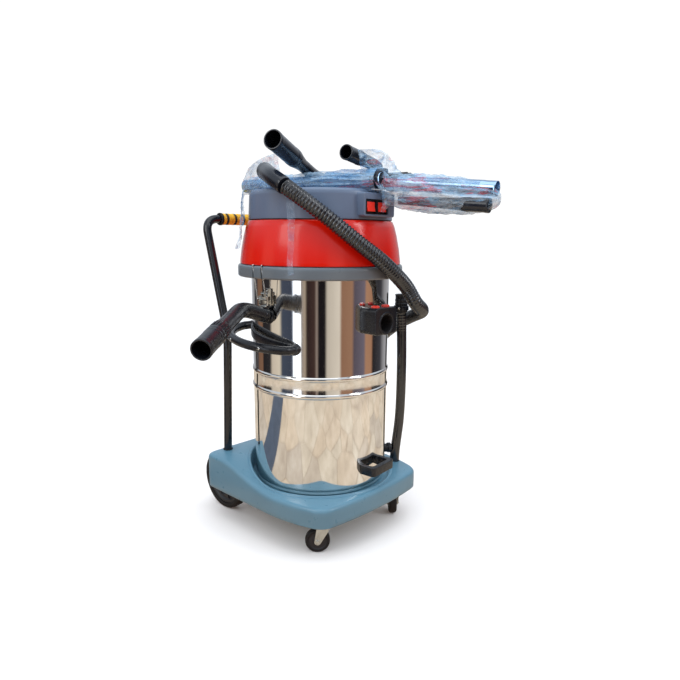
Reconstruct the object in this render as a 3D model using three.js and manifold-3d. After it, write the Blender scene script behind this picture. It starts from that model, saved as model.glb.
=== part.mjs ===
// Wet-and-dry shop vacuum on a four-wheel trolley, with its hose and tools laid over the head.
// Millimetres, +Z up. The machine's front faces -Y. The machine group is built about the tank's
// axis on the floor, and then shifted so that the origin is under the centre of its bounding box.
import * as THREE from 'three';
import { mergeVertices } from 'three/addons/utils/BufferGeometryUtils.js';
import Module from 'manifold-3d';

const wasm = await Module();
wasm.setup();

// ---------- driving dimensions ----------
const GAP = 0.3; // between touching pieces
const TANK_AXIS = [134.66, 82.06]; // the tank's axis, seen from the bounding box's centre

const TANK_R = 200;
const TANK_WALL = 2;
const TANK_SIDES = 48;
const TANK_BASE = 150;
const TANK_TOP = 757;
const BEADS = [439, 487];
const INLET_Z = 640;
const INLET_BORE_R = 25;
const INLET_FRONT = 250; // from the tank's axis to the face of the inlet block

const RING_Z = [755.5, 789];
const RING_R = 237;
const SHELL_Z = [790, 908];
const SHELL_R = [230, 205];
const CAP_Z = [911, 988];
const CAP_R = [204, 200];

const DECK_HALF = 248;
const DECK_FRONT = 156;
const DECK_REAR = 205;
const DECK_SKIRT = 98;
const DECK_SKIN = 5;
const RECESS_R = 214;

const WHEEL_R = 95;
const WHEEL_X = 170; // middle of the tread
const WHEEL_Y = 260;
const WHEEL_W = 38;
const AXLE_R = 8;
const CASTER_PIN = [155, -172];
const CASTER_R = 35;
const CASTER_TRAIL = 20;

const LEG = [180, 235]; // foot of the push handle
const HANDLE_TUBE_R = 12.5;
const TIPPING_TURN = Math.PI / 36; // the tipping handle stands a little right of the front
const HANDLE_FOOT = DECK_REAR + 1.2; // the legs lean, so their ends dip at one side
const HANDLE_BEND = [216, 578]; // Y and Z where its legs lean back
const HANDLE_TOP = [309, 915]; // Y and Z of its crossbar

const HOSE_R = 20.5;
const DRAIN_R = 15;
const DRAIN_AT = [213, -128];
const DRAIN_CUFF = [640, 695]; // bottom and top
const WAND_R = 19;
const BEND_R = 170; // the main hose's coil on the floor

// ---------- materials ----------
const paint = (color, roughness, metalness) =>
  new THREE.MeshStandardMaterial({ color, roughness, metalness });
const steel = paint(0xd8d4cc, 0.08, 1);
const zinc = paint(0xbfc2c4, 0.35, 0.9);
const chrome = paint(0xe4e8ee, 0.1, 1);
const blackPlastic = paint(0x16181c, 0.4, 0);
const blackRubber = paint(0x141414, 0.8, 0);
const greyPlastic = paint(0x5d6470, 0.45, 0);
const deckPlastic = paint(0x6d8797, 0.42, 0);
const redPlastic = paint(0xd5200f, 0.3, 0);
const yellowFoam = paint(0xe8a80c, 0.85, 0);
const filmClear = new THREE.MeshStandardMaterial({
  color: 0xdfe8f0, roughness: 0.2, metalness: 0, transparent: true, opacity: 0.4,
});
const cloth = paint(0xe6e2d6, 0.95, 0);

// ---------- solids ----------
function toSolid(geometry) {
  const bare = geometry.clone();
  bare.deleteAttribute('normal');
  bare.deleteAttribute('uv');
  const merged = mergeVertices(bare, 1e-4);
  return new wasm.Manifold(new wasm.Mesh({
    numProp: 3,
    vertProperties: Float32Array.from(merged.attributes.position.array),
    triVerts: Uint32Array.from(merged.index.array),
  }));
}

function fromSolid(solid) {
  const mesh = solid.getMesh();
  const geometry = new THREE.BufferGeometry();
  geometry.setAttribute('position', new THREE.BufferAttribute(Float32Array.from(mesh.vertProperties), 3));
  geometry.setIndex(new THREE.BufferAttribute(Uint32Array.from(mesh.triVerts), 1));
  geometry.computeVertexNormals();
  return geometry;
}

const cut = (body, ...tools) =>
  fromSolid(tools.reduce((left, tool) => left.subtract(toSolid(tool)), toSolid(body)));
const join = (body, ...others) =>
  fromSolid(others.reduce((sum, other) => sum.add(toSolid(other)), toSolid(body)));
const common = (body, other) => fromSolid(toSolid(body).intersect(toSolid(other)));

// A cylinder or cone that stands on +Z, from its bottom centre.
function post(radius, height, at, sides = 24, topRadius = radius) {
  return new THREE.CylinderGeometry(topRadius, radius, height, sides)
    .rotateX(Math.PI / 2)
    .translate(at[0], at[1], at[2] + height / 2);
}

function block(size, centre) {
  return new THREE.BoxGeometry(...size).translate(...centre);
}

// A body of revolution about +Z: the profile is [radius, z] pairs, closed or ending on the axis.
function turned(profile, sides = 48) {
  const points = profile.map(([r, z]) => new THREE.Vector2(r, z));
  return new THREE.LatheGeometry(points, sides).rotateX(Math.PI / 2);
}

const ring = (inner, outer, low, high, sides = 48) =>
  turned([[inner, low], [outer, low], [outer, high], [inner, high], [inner, low]], sides);

// Lays a body made along +Z between two points.
function along(geometry, from, to) {
  const direction = new THREE.Vector3(...to).sub(new THREE.Vector3(...from)).normalize();
  const turn = new THREE.Quaternion().setFromUnitVectors(new THREE.Vector3(0, 0, 1), direction);
  return geometry.applyQuaternion(turn).translate(...from);
}

const distance = (a, b) => new THREE.Vector3(...a).distanceTo(new THREE.Vector3(...b));
const rod = (from, to, radius, sides = 16, endRadius = radius) =>
  along(post(radius, distance(from, to), [0, 0, 0], sides, endRadius), from, to);

function circle(radius, sides) {
  const shape = new THREE.Shape();
  for (let i = 0; i < sides; i += 1) {
    const angle = (2 * Math.PI * i) / sides;
    const point = [radius * Math.cos(angle), radius * Math.sin(angle)];
    if (i === 0) shape.moveTo(...point);
    else shape.lineTo(...point);
  }
  shape.closePath();
  return shape;
}

// A curve that a tube follows from point to point, with one step between each two.
class Stations extends THREE.Curve {
  constructor(points) {
    super();
    this.points = points;
  }

  getPointAt(u) {
    return this.points[Math.round(u * (this.points.length - 1))].clone();
  }

  getTangentAt(u) {
    const last = this.points.length - 1;
    const i = Math.round(u * last);
    return this.points[Math.min(i + 1, last)].clone().sub(this.points[Math.max(i - 1, 0)]).normalize();
  }
}

function tubeAlong(curve, radius, sides = 12) {
  const steps = curve.points.length - 1;
  return new THREE.ExtrudeGeometry(circle(radius, sides),
    { steps, extrudePath: curve, bevelEnabled: false });
}

// A flowing curve through the points, in equal steps.
function smooth(points, steps) {
  const flow = new THREE.CatmullRomCurve3(
    points.map((p) => new THREE.Vector3(...p)), false, 'centripetal',
  );
  return new Stations(flow.getSpacedPoints(steps));
}

// The points of a round corner that starts `reach` before the corner point and ends after it.
function corner(from, at, to, reach) {
  const [p, q, r] = [from, at, to].map((point) => new THREE.Vector3(...point));
  const before = q.clone().add(p.clone().sub(q).setLength(reach));
  const after = q.clone().add(r.clone().sub(q).setLength(reach));
  return new THREE.QuadraticBezierCurve3(before, q, after).getPoints(5);
}

// Straight runs joined by round corners.
function rounded(points, reach) {
  const bends = points.slice(1, -1).flatMap((point, i) => corner(points[i], point, points[i + 2], reach));
  const [first, last] = [points[0], points[points.length - 1]].map((p) => new THREE.Vector3(...p));
  return new Stations([first, ...bends, last]);
}

// A pipe whose stations are [point, outer radius, inner radius].
function pipe(stations, sides = 12) {
  const curve = new Stations(stations.map(([point]) => new THREE.Vector3(...point)));
  const last = stations.length - 1;
  const { normals, binormals } = curve.computeFrenetFrames(last, false);
  const positions = [];
  for (let i = 0; i <= last; i += 1) {
    for (const radius of stations[i].slice(1)) {
      for (let k = 0; k < sides; k += 1) {
        const angle = (2 * Math.PI * k) / sides;
        positions.push(...curve.points[i].clone()
          .addScaledVector(normals[i], radius * Math.cos(angle))
          .addScaledVector(binormals[i], radius * Math.sin(angle)).toArray());
      }
    }
  }
  const at = (i, inner, k) => (2 * i + inner) * sides + (k % sides);
  const index = [];
  const quad = (a, b, c, d) => index.push(a, b, c, a, c, d);
  for (let k = 0; k < sides; k += 1) {
    for (let i = 0; i < last; i += 1) {
      quad(at(i, 0, k), at(i, 0, k + 1), at(i + 1, 0, k + 1), at(i + 1, 0, k));
      quad(at(i, 1, k), at(i + 1, 1, k), at(i + 1, 1, k + 1), at(i, 1, k + 1));
    }
    quad(at(0, 0, k), at(0, 1, k), at(0, 1, k + 1), at(0, 0, k + 1));
    quad(at(last, 0, k), at(last, 0, k + 1), at(last, 1, k + 1), at(last, 1, k));
  }
  const geometry = new THREE.BufferGeometry();
  geometry.setAttribute('position', new THREE.Float32BufferAttribute(positions, 3));
  geometry.setIndex(index);
  geometry.computeVertexNormals();
  return geometry;
}

function slab(shape, depth, z) {
  return new THREE.ExtrudeGeometry(shape, { depth, bevelEnabled: false, curveSegments: 6 })
    .translate(0, 0, z);
}

function roundedRectangle(width, height, radius) {
  const [x, y] = [width / 2, height / 2];
  const shape = new THREE.Shape();
  shape.moveTo(-x + radius, -y);
  shape.lineTo(x - radius, -y);
  shape.quadraticCurveTo(x, -y, x, -y + radius);
  shape.lineTo(x, y - radius);
  shape.quadraticCurveTo(x, y, x - radius, y);
  shape.lineTo(-x + radius, y);
  shape.quadraticCurveTo(-x, y, -x, y - radius);
  shape.lineTo(-x, -y + radius);
  shape.quadraticCurveTo(-x, -y, -x + radius, -y);
  return shape;
}

const polar = (radius, degrees, z) => {
  const angle = THREE.MathUtils.degToRad(degrees);
  return [radius * Math.cos(angle), radius * Math.sin(angle), z];
};
const mirrored = (side, [x, y, z]) => [side * x, y, z];

// ---------- scene graph ----------
const part = new THREE.Group();
const machine = new THREE.Group();
machine.position.set(TANK_AXIS[0], TANK_AXIS[1], 0);
part.add(machine);

function add(name, geometry, material) {
  const mesh = new THREE.Mesh(geometry, material);
  mesh.name = name;
  machine.add(mesh);
  return mesh;
}

// ---------- trolley ----------
// The deck's plan, drawn in by `inset` from its outer face.
function deckPlan(inset) {
  const k = 1 - inset / DECK_HALF;
  const shape = new THREE.Shape();
  shape.moveTo(-175 * k, -226 * k);
  shape.quadraticCurveTo(0, -250 * k, 175 * k, -226 * k);
  shape.quadraticCurveTo(212 * k, -220 * k, 222 * k, -185 * k);
  shape.quadraticCurveTo(DECK_HALF * k, -110 * k, DECK_HALF * k, -30 * k);
  shape.lineTo(DECK_HALF * k, 232 * k);
  shape.quadraticCurveTo(DECK_HALF * k, 262 * k, 218 * k, 262 * k);
  shape.lineTo(-218 * k, 262 * k);
  shape.quadraticCurveTo(-DECK_HALF * k, 262 * k, -DECK_HALF * k, 232 * k);
  shape.lineTo(-DECK_HALF * k, -30 * k);
  shape.quadraticCurveTo(-DECK_HALF * k, -110 * k, -222 * k, -185 * k);
  shape.quadraticCurveTo(-212 * k, -220 * k, -175 * k, -226 * k);
  return shape;
}

// Everything above the deck's top surface, which climbs to the rear; `drop` lowers it.
function aboveDeck(drop) {
  const shape = new THREE.Shape();
  const steps = 10;
  shape.moveTo(-400, DECK_FRONT - drop);
  for (let i = 0; i <= steps; i += 1) {
    const t = i / steps;
    const rise = (DECK_REAR - DECK_FRONT) * t * t * (3 - 2 * t);
    shape.lineTo(-40 + 240 * t, DECK_FRONT + rise - drop);
  }
  shape.lineTo(400, DECK_REAR - drop);
  shape.lineTo(400, 400);
  shape.lineTo(-400, 400);
  shape.closePath();
  const sky = new THREE.ExtrudeGeometry(shape, { depth: 600, bevelEnabled: false });
  const axes = new THREE.Matrix4().makeBasis(
    new THREE.Vector3(0, 1, 0), new THREE.Vector3(0, 0, 1), new THREE.Vector3(1, 0, 0),
  );
  return sky.applyMatrix4(axes).translate(-300, 0, 0);
}

function trolleyDeck() {
  const body = cut(slab(deckPlan(0), 150, DECK_SKIRT), aboveDeck(0));
  const room = cut(slab(deckPlan(DECK_SKIN), 150, DECK_SKIRT - 20), aboveDeck(DECK_SKIN + 1));
  const well = common(post(RECESS_R + 6, 100, [0, 0, TANK_BASE - 7], 40), body);
  const bosses = [-1, 1].map((side) => common(
    block([56, 56, 80], [side * CASTER_PIN[0], CASTER_PIN[1], 152]), body,
  ));
  const shell = join(cut(body, room), well, ...bosses);
  const recess = post(RECESS_R, 120, [0, 0, TANK_BASE - GAP], 40);
  const wells = [-1, 1].map((side) =>
    block([WHEEL_W + 14, 150, 150], [side * WHEEL_X, WHEEL_Y - 8, 122]));
  const rearNotch = block([290, 50, 60], [0, 268, 95]);
  const drainHole = post(DRAIN_R + 1.5, 200, [...DRAIN_AT, 60]);
  return cut(shell, recess, rearNotch, ...wells, drainHole);
}
add('trolley_deck', trolleyDeck(), deckPlastic);

// One folded bracket under the deck carries the rear axle at both of its ends.
function axleBracket() {
  const legs = [-1, 1].flatMap((side) => [
    block([6, 34, 106], [side * 136, WHEEL_Y - 32, 145]),
    block([6, 60, 46], [side * 136, WHEEL_Y - 18, WHEEL_R + 2]),
  ]);
  const body = join(block([278, 22, 4], [0, WHEEL_Y - 26, 194]), ...legs);
  return cut(body, rod([-150, WHEEL_Y, WHEEL_R], [150, WHEEL_Y, WHEEL_R], AXLE_R + GAP));
}
add('axle_bracket', axleBracket(), zinc);
add('rear_axle', rod([-191, WHEEL_Y, WHEEL_R], [191, WHEEL_Y, WHEEL_R], AXLE_R, 20), zinc);

// Stands a wheel that was turned about +Z on the rear axle.
const onAxle = (geometry, side) => geometry
  .rotateY(Math.PI / 2).translate(side * WHEEL_X, WHEEL_Y, WHEEL_R);

for (const [side, word] of [[-1, 'left'], [1, 'right']]) {
  const half = WHEEL_W / 2;
  const disc = ring(AXLE_R + GAP, 78, -half + 4, half - 4, 28);
  const windows = [0, 1, 2, 3, 4].map((i) => {
    const [x, y] = polar(46, 72 * i + 18, 0);
    return post(16, 60, [x, y, -30], 10);
  });
  add(`wheel_hub_${word}`, onAxle(cut(disc, ...windows), side), blackPlastic);
  add(`wheel_tyre_${word}`, onAxle(turned([
    [78.3, -half + 2], [88, -half], [WHEEL_R, -half + 6], [WHEEL_R, half - 6], [88, half],
    [78.3, half - 2], [78.3, -half + 2],
  ], 28), side), blackRubber);
}

// A swivel caster: the wheel trails from the pin towards `heading` degrees.
function addCaster(word, pin, heading) {
  const facing = (geometry) => geometry
    .rotateZ(THREE.MathUtils.degToRad(heading)).translate(pin[0], pin[1], 0);
  add(`caster_plate_${word}`, join(
    block([54, 54, 3], [...pin, 110]), post(17, 9, [...pin, 101], 20),
  ), zinc);
  const cheek = new THREE.Shape();
  cheek.moveTo(-18, 98);
  cheek.lineTo(18, 98);
  cheek.lineTo(CASTER_TRAIL + 9, CASTER_R);
  cheek.quadraticCurveTo(CASTER_TRAIL, CASTER_R - 15, CASTER_TRAIL - 10, CASTER_R);
  cheek.closePath();
  const cheeks = [-1, 1].map((side) => new THREE.ExtrudeGeometry(cheek,
    { depth: 2.5, bevelEnabled: false, curveSegments: 4 })
    .rotateX(Math.PI / 2).translate(0, side * 16 + 1.25, 0));
  const axle = rod([CASTER_TRAIL, -20, CASTER_R], [CASTER_TRAIL, 20, CASTER_R], 4, 12);
  add(`caster_fork_${word}`, facing(join(post(20, 6, [0, 0, 94.7], 20), ...cheeks, axle)), zinc);
  add(`caster_wheel_${word}`, facing(turned([
    [4.3, -11], [14, -12], [28, -9], [33, -10], [CASTER_R, -6],
    [CASTER_R, 6], [33, 10], [28, 9], [14, 12], [4.3, 11], [4.3, -11],
  ], 20).rotateX(Math.PI / 2).translate(CASTER_TRAIL, 0, CASTER_R)), blackRubber);
}
addCaster('left', [-CASTER_PIN[0], CASTER_PIN[1]], 135);
addCaster('right', [CASTER_PIN[0], CASTER_PIN[1]], 45);

// ---------- push handle ----------
function addPushHandle() {
  const [barY, barZ] = HANDLE_TOP;
  const half = [
    [LEG[0], LEG[1], HANDLE_FOOT], [LEG[0], ...HANDLE_BEND], [LEG[0], barY, barZ],
  ];
  const route = [...half.map((p) => mirrored(-1, p)), ...half.reverse()];
  add('push_handle', tubeAlong(rounded(route, 45), HANDLE_TUBE_R, 12), blackPlastic);
  add('handle_grip', along(ring(HANDLE_TUBE_R + GAP, 17.5, 0, 250, 24),
    [-125, barY, barZ], [125, barY, barZ]), yellowFoam);
}
addPushHandle();

// ---------- tank ----------
function tankShell() {
  const bead = (z) => [[TANK_R, z - 6], [TANK_R + 3, z - 2], [TANK_R + 3, z + 2], [TANK_R, z + 6]];
  const outside = [
    [0, TANK_BASE], [188, TANK_BASE], [197, TANK_BASE + 3], [TANK_R, TANK_BASE + 12],
    ...BEADS.flatMap(bead), [TANK_R, TANK_TOP - 2], [TANK_R + 2.5, TANK_TOP],
    [TANK_R + 2.5, TANK_TOP + 7],
  ];
  const inner = TANK_R - TANK_WALL;
  const inside = [[inner, TANK_TOP + 7], [inner, TANK_BASE + 13], [186, TANK_BASE + 2],
    [0, TANK_BASE + 2]];
  const inletHole = rod([0, -150, INLET_Z], [0, -250, INLET_Z], INLET_BORE_R, 24);
  return cut(turned([...outside, ...inside], TANK_SIDES), inletHole);
}
add('tank', tankShell(), steel);

const tankFace = (extra, z0, z1) => post(TANK_R + extra, z1 - z0, [0, 0, z0], TANK_SIDES);

function inletBlock() {
  const depth = INLET_FRONT - 150;
  const body = new THREE.ExtrudeGeometry(roundedRectangle(90, 72, 12),
    { depth, bevelEnabled: false, curveSegments: 4 })
    .rotateX(Math.PI / 2).translate(0, -150, 646);
  const bore = rod([0, -100, INLET_Z], [0, -300, INLET_Z], INLET_BORE_R, 24);
  const pockets = [-21, 21].map((x) => post(12.4, 40, [x, -228, 672], 20));
  return cut(body, tankFace(GAP + 0.2, 560, 740), bore, ...pockets);
}
add('inlet_block', inletBlock(), blackPlastic);
for (const [x, word] of [[-21, 'left'], [21, 'right']]) {
  add(`inlet_button_${word}`, post(12, 10, [x, -228, 677], 20, 11), redPlastic);
}

function tippingHandle() {
  const loop = roundedRectangle(104, 110, 10);
  loop.holes.push(roundedRectangle(76, 82, 6));
  const body = slab(loop, 26, 203).translate(0, -(240 - 55), 0).rotateZ(TIPPING_TURN);
  return cut(body, tankFace(GAP + 0.2, 180, 260));
}
add('tipping_handle', tippingHandle(), blackPlastic);

// A curved grip that stands off the tank's side and climbs a little towards the rear.
function sideHandle(side) {
  const start = 25;
  const sweep = -80;
  const steps = 12;
  const points = [];
  for (let i = 0; i <= steps; i += 1) {
    const t = i / steps;
    const lift = 570 + 34 * t;
    const reach = TANK_R + 8 + 62 * Math.sin(Math.PI * t) ** 0.5;
    const [x, y] = polar(reach, start + sweep * t, 0);
    points.push([side * x, -y, lift]);
  }
  const bar = tubeAlong(smooth(points, 14), 12, 8);
  const feet = [0, 1].map((t) => {
    const angle = start + sweep * t;
    const [x, y] = polar(TANK_R - 6, angle, 0);
    const [ox, oy] = polar(TANK_R + 12, angle, 0);
    const z = 570 + 34 * t;
    return rod([side * x, -y, z], [side * ox, -oy, z], 15, 16);
  });
  return cut(join(bar, ...feet), tankFace(GAP + 0.2, 500, 680));
}
add('side_handle_left', sideHandle(-1), blackPlastic);
add('side_handle_right', sideHandle(1), blackPlastic);

// A toggle latch: a base on the tank, a lever on its pin, and a wire that hooks over the ring.
const LATCH_PIN = [211, 715]; // X and Z
const LATCH_WIRE = [222.5, 701];
const WIRE_R = 1.6;
for (const [side, word] of [[-1, 'left'], [1, 'right']]) {
  const [pinX, pinZ] = LATCH_PIN;
  const [wireX, wireZ] = LATCH_WIRE;
  const cross = (x, z, half, radius) => rod([side * x, -half, z], [side * x, half, z], radius, 10);
  const base = join(
    block([12.5, 30, 42], [side * 201.25, 0, 708]),
    block([8, 5, 10], [side * 210, 12.5, 714]), block([8, 5, 10], [side * 210, -12.5, 714]),
  );
  add(`latch_base_${word}`, cut(base, tankFace(GAP + 0.2, 660, 750), cross(pinX, pinZ, 20, 2.8)),
    zinc);
  const lever = join(
    block([3, 34, 30], [side * 216.5, 0, 696]), block([7.5, 17, 5], [side * 213.5, 0, 713]),
    block([3, 17, 8], [side * 216.5, 0, 711]), cross(pinX, pinZ, 15, 2.5),
    block([8, 5, 8], [side * 221, 11, wireZ]), block([8, 5, 8], [side * 221, -11, wireZ]),
  );
  add(`latch_lever_${word}`, cut(lever, cross(wireX, wireZ, 20, WIRE_R + GAP)), zinc);
  const top = RING_Z[1] + 3;
  add(`latch_wire_${word}`, tubeAlong(rounded([
    [side * (RING_R - 6), -17.5, top], [side * (RING_R - 1), -17.5, top],
    [side * wireX, -17.5, wireZ], [side * wireX, 17.5, wireZ],
    [side * (RING_R - 1), 17.5, top], [side * (RING_R - 6), 17.5, top],
  ], 2.4), WIRE_R, 6), zinc);
}

// ---------- drain ----------
const [drainX, drainY] = [222, -130];
add('drain_hose', tubeAlong(smooth([
  [...DRAIN_AT, 128], [DRAIN_AT[0] + 1, DRAIN_AT[1], 180], [226, -133, 300], [228, -134, 450],
  [225, -132, 580], [drainX, drainY, DRAIN_CUFF[0] - 1],
], 12), DRAIN_R, 12), blackRubber);
add('drain_hose_cuff', cut(
  turned([[0, DRAIN_CUFF[0]], [19, DRAIN_CUFF[0]], [19, DRAIN_CUFF[1]], [0, DRAIN_CUFF[1]]], 24),
  post(14, 40, [0, 0, DRAIN_CUFF[1] - 35], 20),
).translate(drainX, drainY, 0), blackRubber);

function drainHook() {
  const collar = ring(19.4, 23, 646, 660, 24).translate(drainX, drainY, 0);
  const [inX, inY] = polar(190, -30.4, 0);
  const [outX, outY] = polar(236, -30.4, 0);
  const arm = rod([inX, inY, 653], [outX, outY, 653], 6, 12);
  return cut(join(collar, arm), tankFace(GAP + 0.2, 600, 700));
}
add('drain_hose_hook', drainHook(), blackPlastic);

function drainOutlet() {
  const at = (radius) => polar(radius, -30, 200);
  const body = join(rod(at(190), at(234), 12, 20), rod(at(224), at(234), 16, 20));
  return cut(body, tankFace(GAP + 0.2, 160, 240));
}
add('drain_outlet', drainOutlet(), blackPlastic);

// ---------- hand tube ----------
const TUBE_ROOT = [-203, 0, 654.4];
const TUBE_BEND = [-290, 0, 682];
const TUBE_MOUTH = [-533, -174, 629];
const between = (a, b, t) => a.map((value, i) => value + (b[i] - value) * t);

function handTube() {
  const down = (t) => between(TUBE_BEND, TUBE_MOUTH, t);
  const bend = corner(TUBE_ROOT, TUBE_BEND, TUBE_MOUTH, 34).map((p) => [p.toArray(), 20, 16]);
  return pipe([
    [between(TUBE_ROOT, TUBE_BEND, 0.1), 20, 16], ...bend, [down(0.4), 20, 16], [down(0.66), 23, 16],
    [down(0.67), 24.5, 20.5], [TUBE_MOUTH, 24.5, 20.5],
  ]);
}
add('hand_tube', handTube(), blackPlastic);
add('hand_tube_peg', cut(
  rod(between(TUBE_ROOT, TUBE_BEND, -0.3), between(TUBE_ROOT, TUBE_BEND, 0.5), 15.4, 20),
  tankFace(GAP + 0.2, 600, 700),
), blackPlastic);

// ---------- head ----------
add('filter_bag', turned([
  [0, 560], [100, 565], [150, 620], [182, 700], [190, 744], [197.4, 746], [197.4, 763.5],
  [190, 763.5], [186, 748], [178.5, 702], [146.5, 623], [98, 568], [0, 563],
], 28), cloth);

function headRing() {
  const [low, high] = RING_Z;
  const body = turned([
    [205, low], [RING_R, low], [RING_R, high], [185.3, high], [185.3, 776], [175, 776], [175, 770],
    [205, 770], [205, low],
  ], 48);
  const grooves = [-1, 1].flatMap((side) => [-17.5, 17.5].map((y) =>
    block([30, 6, 60], [side * (RING_R), y, 772])));
  return cut(body, ...grooves);
}
add('head_ring', headRing(), greyPlastic);
add('head_seal', ring(190, 204.2, 764.4, 769.7, 48), blackRubber);
add('motor_plate', cut(
  post(184.7, 4.7, [0, 0, 776.3], 48), post(30, 20, [0, 0, 770], 16),
), blackPlastic);
for (const [side, word] of [[-1, 'left'], [1, 'right']]) {
  add(`motor_${word}`, turned([
    [0, 781.3], [62, 781.3], [62, 826], [50, 832], [50, 880], [22, 884], [22, 895], [0, 895],
  ], 20).translate(side * 72, 0, 0), zinc);
}

function floatCage() {
  const cup = turned([
    [12, 690], [60, 690], [60, 776], [56, 776], [56, 694], [12, 694], [12, 690],
  ], 24);
  const slots = [0, 60, 120].map((angle) =>
    block([140, 34, 60], [0, 0, 734]).rotateZ(THREE.MathUtils.degToRad(angle)));
  return cut(cup, ...slots);
}
add('float_cage', floatCage(), blackPlastic);
add('float_ball', new THREE.SphereGeometry(25, 14, 10).translate(0, 0, 719.4), blackPlastic);

add('motor_cover', turned([
  [226, SHELL_Z[0]], [SHELL_R[0], SHELL_Z[0]], [SHELL_R[0], 797], [226, 830], [218.5, 868],
  [211, 896], [SHELL_R[1], SHELL_Z[1]], [203, SHELL_Z[1]], [203, 910.6], [190, 910.6],
  [190, SHELL_Z[1]], [0, SHELL_Z[1]], [0, 903], [200, 903], [207, 894], [214.5, 866], [222, 828],
  [226, 797], [226, SHELL_Z[0]],
], 44), redPlastic);

const [capLow, capHigh] = CAP_Z;
add('top_cover', turned([
  [0, capHigh - 15], [CAP_R[1] - 4, capHigh - 15], [CAP_R[0] - 4, capLow], [CAP_R[0], capLow],
  [CAP_R[1] + 0.6, capHigh - 10], [198, capHigh - 4], [192, capHigh], [178, capHigh],
  [172, capHigh - 10], [0, capHigh - 10],
], 48), greyPlastic);

function switchPanel() {
  const frame = block([124, 67, 60], [2, -183.5, 947.5]);
  const inset = block([92, 20, 38], [-8, -218.7, 942]);
  return cut(frame, post(CAP_R[0] + GAP, capHigh - capLow, [0, 0, capLow], 48, CAP_R[1] + GAP),
    inset);
}
add('switch_panel', switchPanel(), greyPlastic);
for (const [x, word] of [[-30, 'left'], [14, 'right']]) {
  add(`switch_rocker_${word}`, block([30, 4.4, 24], [0, 0, 0])
    .rotateX(THREE.MathUtils.degToRad(-8)).translate(x, -212.8, 942), redPlastic);
}

// ---------- wands and tools on the head ----------
const WAND_1 = [[-69, 250, 1011], [-1, -225, 1011]];
const WAND_2 = [[13, -13, 1024], [83, -508, 980]];
const CREVICE = [[25, -262, 958], [66, -500, 941]];

function hollowRod([from, to], radius, bore, sides = 20) {
  return along(ring(bore, radius, 0, distance(from, to), sides), from, to);
}
add('wand_1', hollowRod(WAND_1, WAND_R, WAND_R - 1.5), chrome);
add('wand_2', hollowRod(WAND_2, WAND_R, WAND_R - 1.5), chrome);

function creviceTool() {
  const [tip, socket] = CREVICE;
  const length = distance(tip, socket);
  const body = turned([
    [6, 0], [9, 0], [15, 0.7 * length], [17, 0.72 * length], [17, length], [14, length],
    [14, 0.74 * length], [11, 0.68 * length], [6, 0],
  ], 18);
  return along(body, tip, socket);
}
add('crevice_tool', creviceTool(), blackPlastic);

// A crumpled sleeve of thin film round a pair of points, `wide` and `tall` from its axis.
function filmSleeve(from, to, wide, tall) {
  const wall = 1.4;
  const section = new THREE.Shape();
  section.absellipse(0, 0, wide, tall, 0, 2 * Math.PI, false, 0);
  const hole = new THREE.Path();
  hole.absellipse(0, 0, wide - wall, tall - wall, 0, 2 * Math.PI, true, 0);
  section.holes.push(hole);
  const length = distance(from, to);
  const sleeve = new THREE.ExtrudeGeometry(section,
    { depth: length, steps: 1, bevelEnabled: false, curveSegments: 12 });
  const forward = new THREE.Vector3(...to).sub(new THREE.Vector3(...from)).normalize();
  const across = new THREE.Vector3().crossVectors(forward, new THREE.Vector3(0, 0, 1)).normalize();
  const up = new THREE.Vector3().crossVectors(across, forward);
  return sleeve.applyMatrix4(new THREE.Matrix4().makeBasis(across.negate(), up, forward))
    .translate(...from);
}
add('film_wrap_1', filmSleeve(
  between(...WAND_1, 0.07), between(...WAND_1, 0.93), WAND_R + 2.2, WAND_R + 2.2,
), filmClear);
add('film_wrap_2', filmSleeve([37, -232, 982], [76, -513, 961], 37, 47), filmClear);

// A floor tool: a bar with a suction slot, and a neck hinged about the bar's length.
function addFloorTool(word, size, centre, heading, route, radius, mouthRadius) {
  const [length, width, height] = size;
  const place = (geometry) => geometry
    .rotateZ(THREE.MathUtils.degToRad(heading)).translate(...centre);
  const top = height / 2;
  const slot = block([length - 40, 14, 12], [0, 0, -top]);
  const lugs = [-1, 1].map((side) => block([6, 24, 22], [side * 28, 0, top + 8]));
  const slabShape = slab(roundedRectangle(length, width, 14), height, -top);
  add(`floor_tool_bar_${word}`, place(cut(join(slabShape, ...lugs), slot)), blackPlastic);
  const knuckle = place(rod([-24, 0, top + 11], [24, 0, top + 11], 10, 12));
  const [root, bend, mouth] = route;
  const curve = corner(root, bend, mouth, 30).map((p) => [p.toArray(), radius, radius - 4]);
  const neck = pipe([
    [root, radius, radius - 4], ...curve, [between(bend, mouth, 0.5), radius + 1, radius - 3],
    [mouth, mouthRadius, mouthRadius - 3],
  ]);
  add(`floor_tool_neck_${word}`, join(neck, knuckle), blackPlastic);
}
addFloorTool('a', [300, 62, 28], [100, 89, 1002.5], -66.3,
  [[92, 86, 1034], [28, 57, 1040], [-218, -51, 1100]], 17.5, 25);
addFloorTool('b', [240, 60, 24], [165, -70, 1029.2], -77.6,
  [[162, -72, 1064], [127, -85, 1069], [-23, -118, 1084]], 17, 20);

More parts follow.
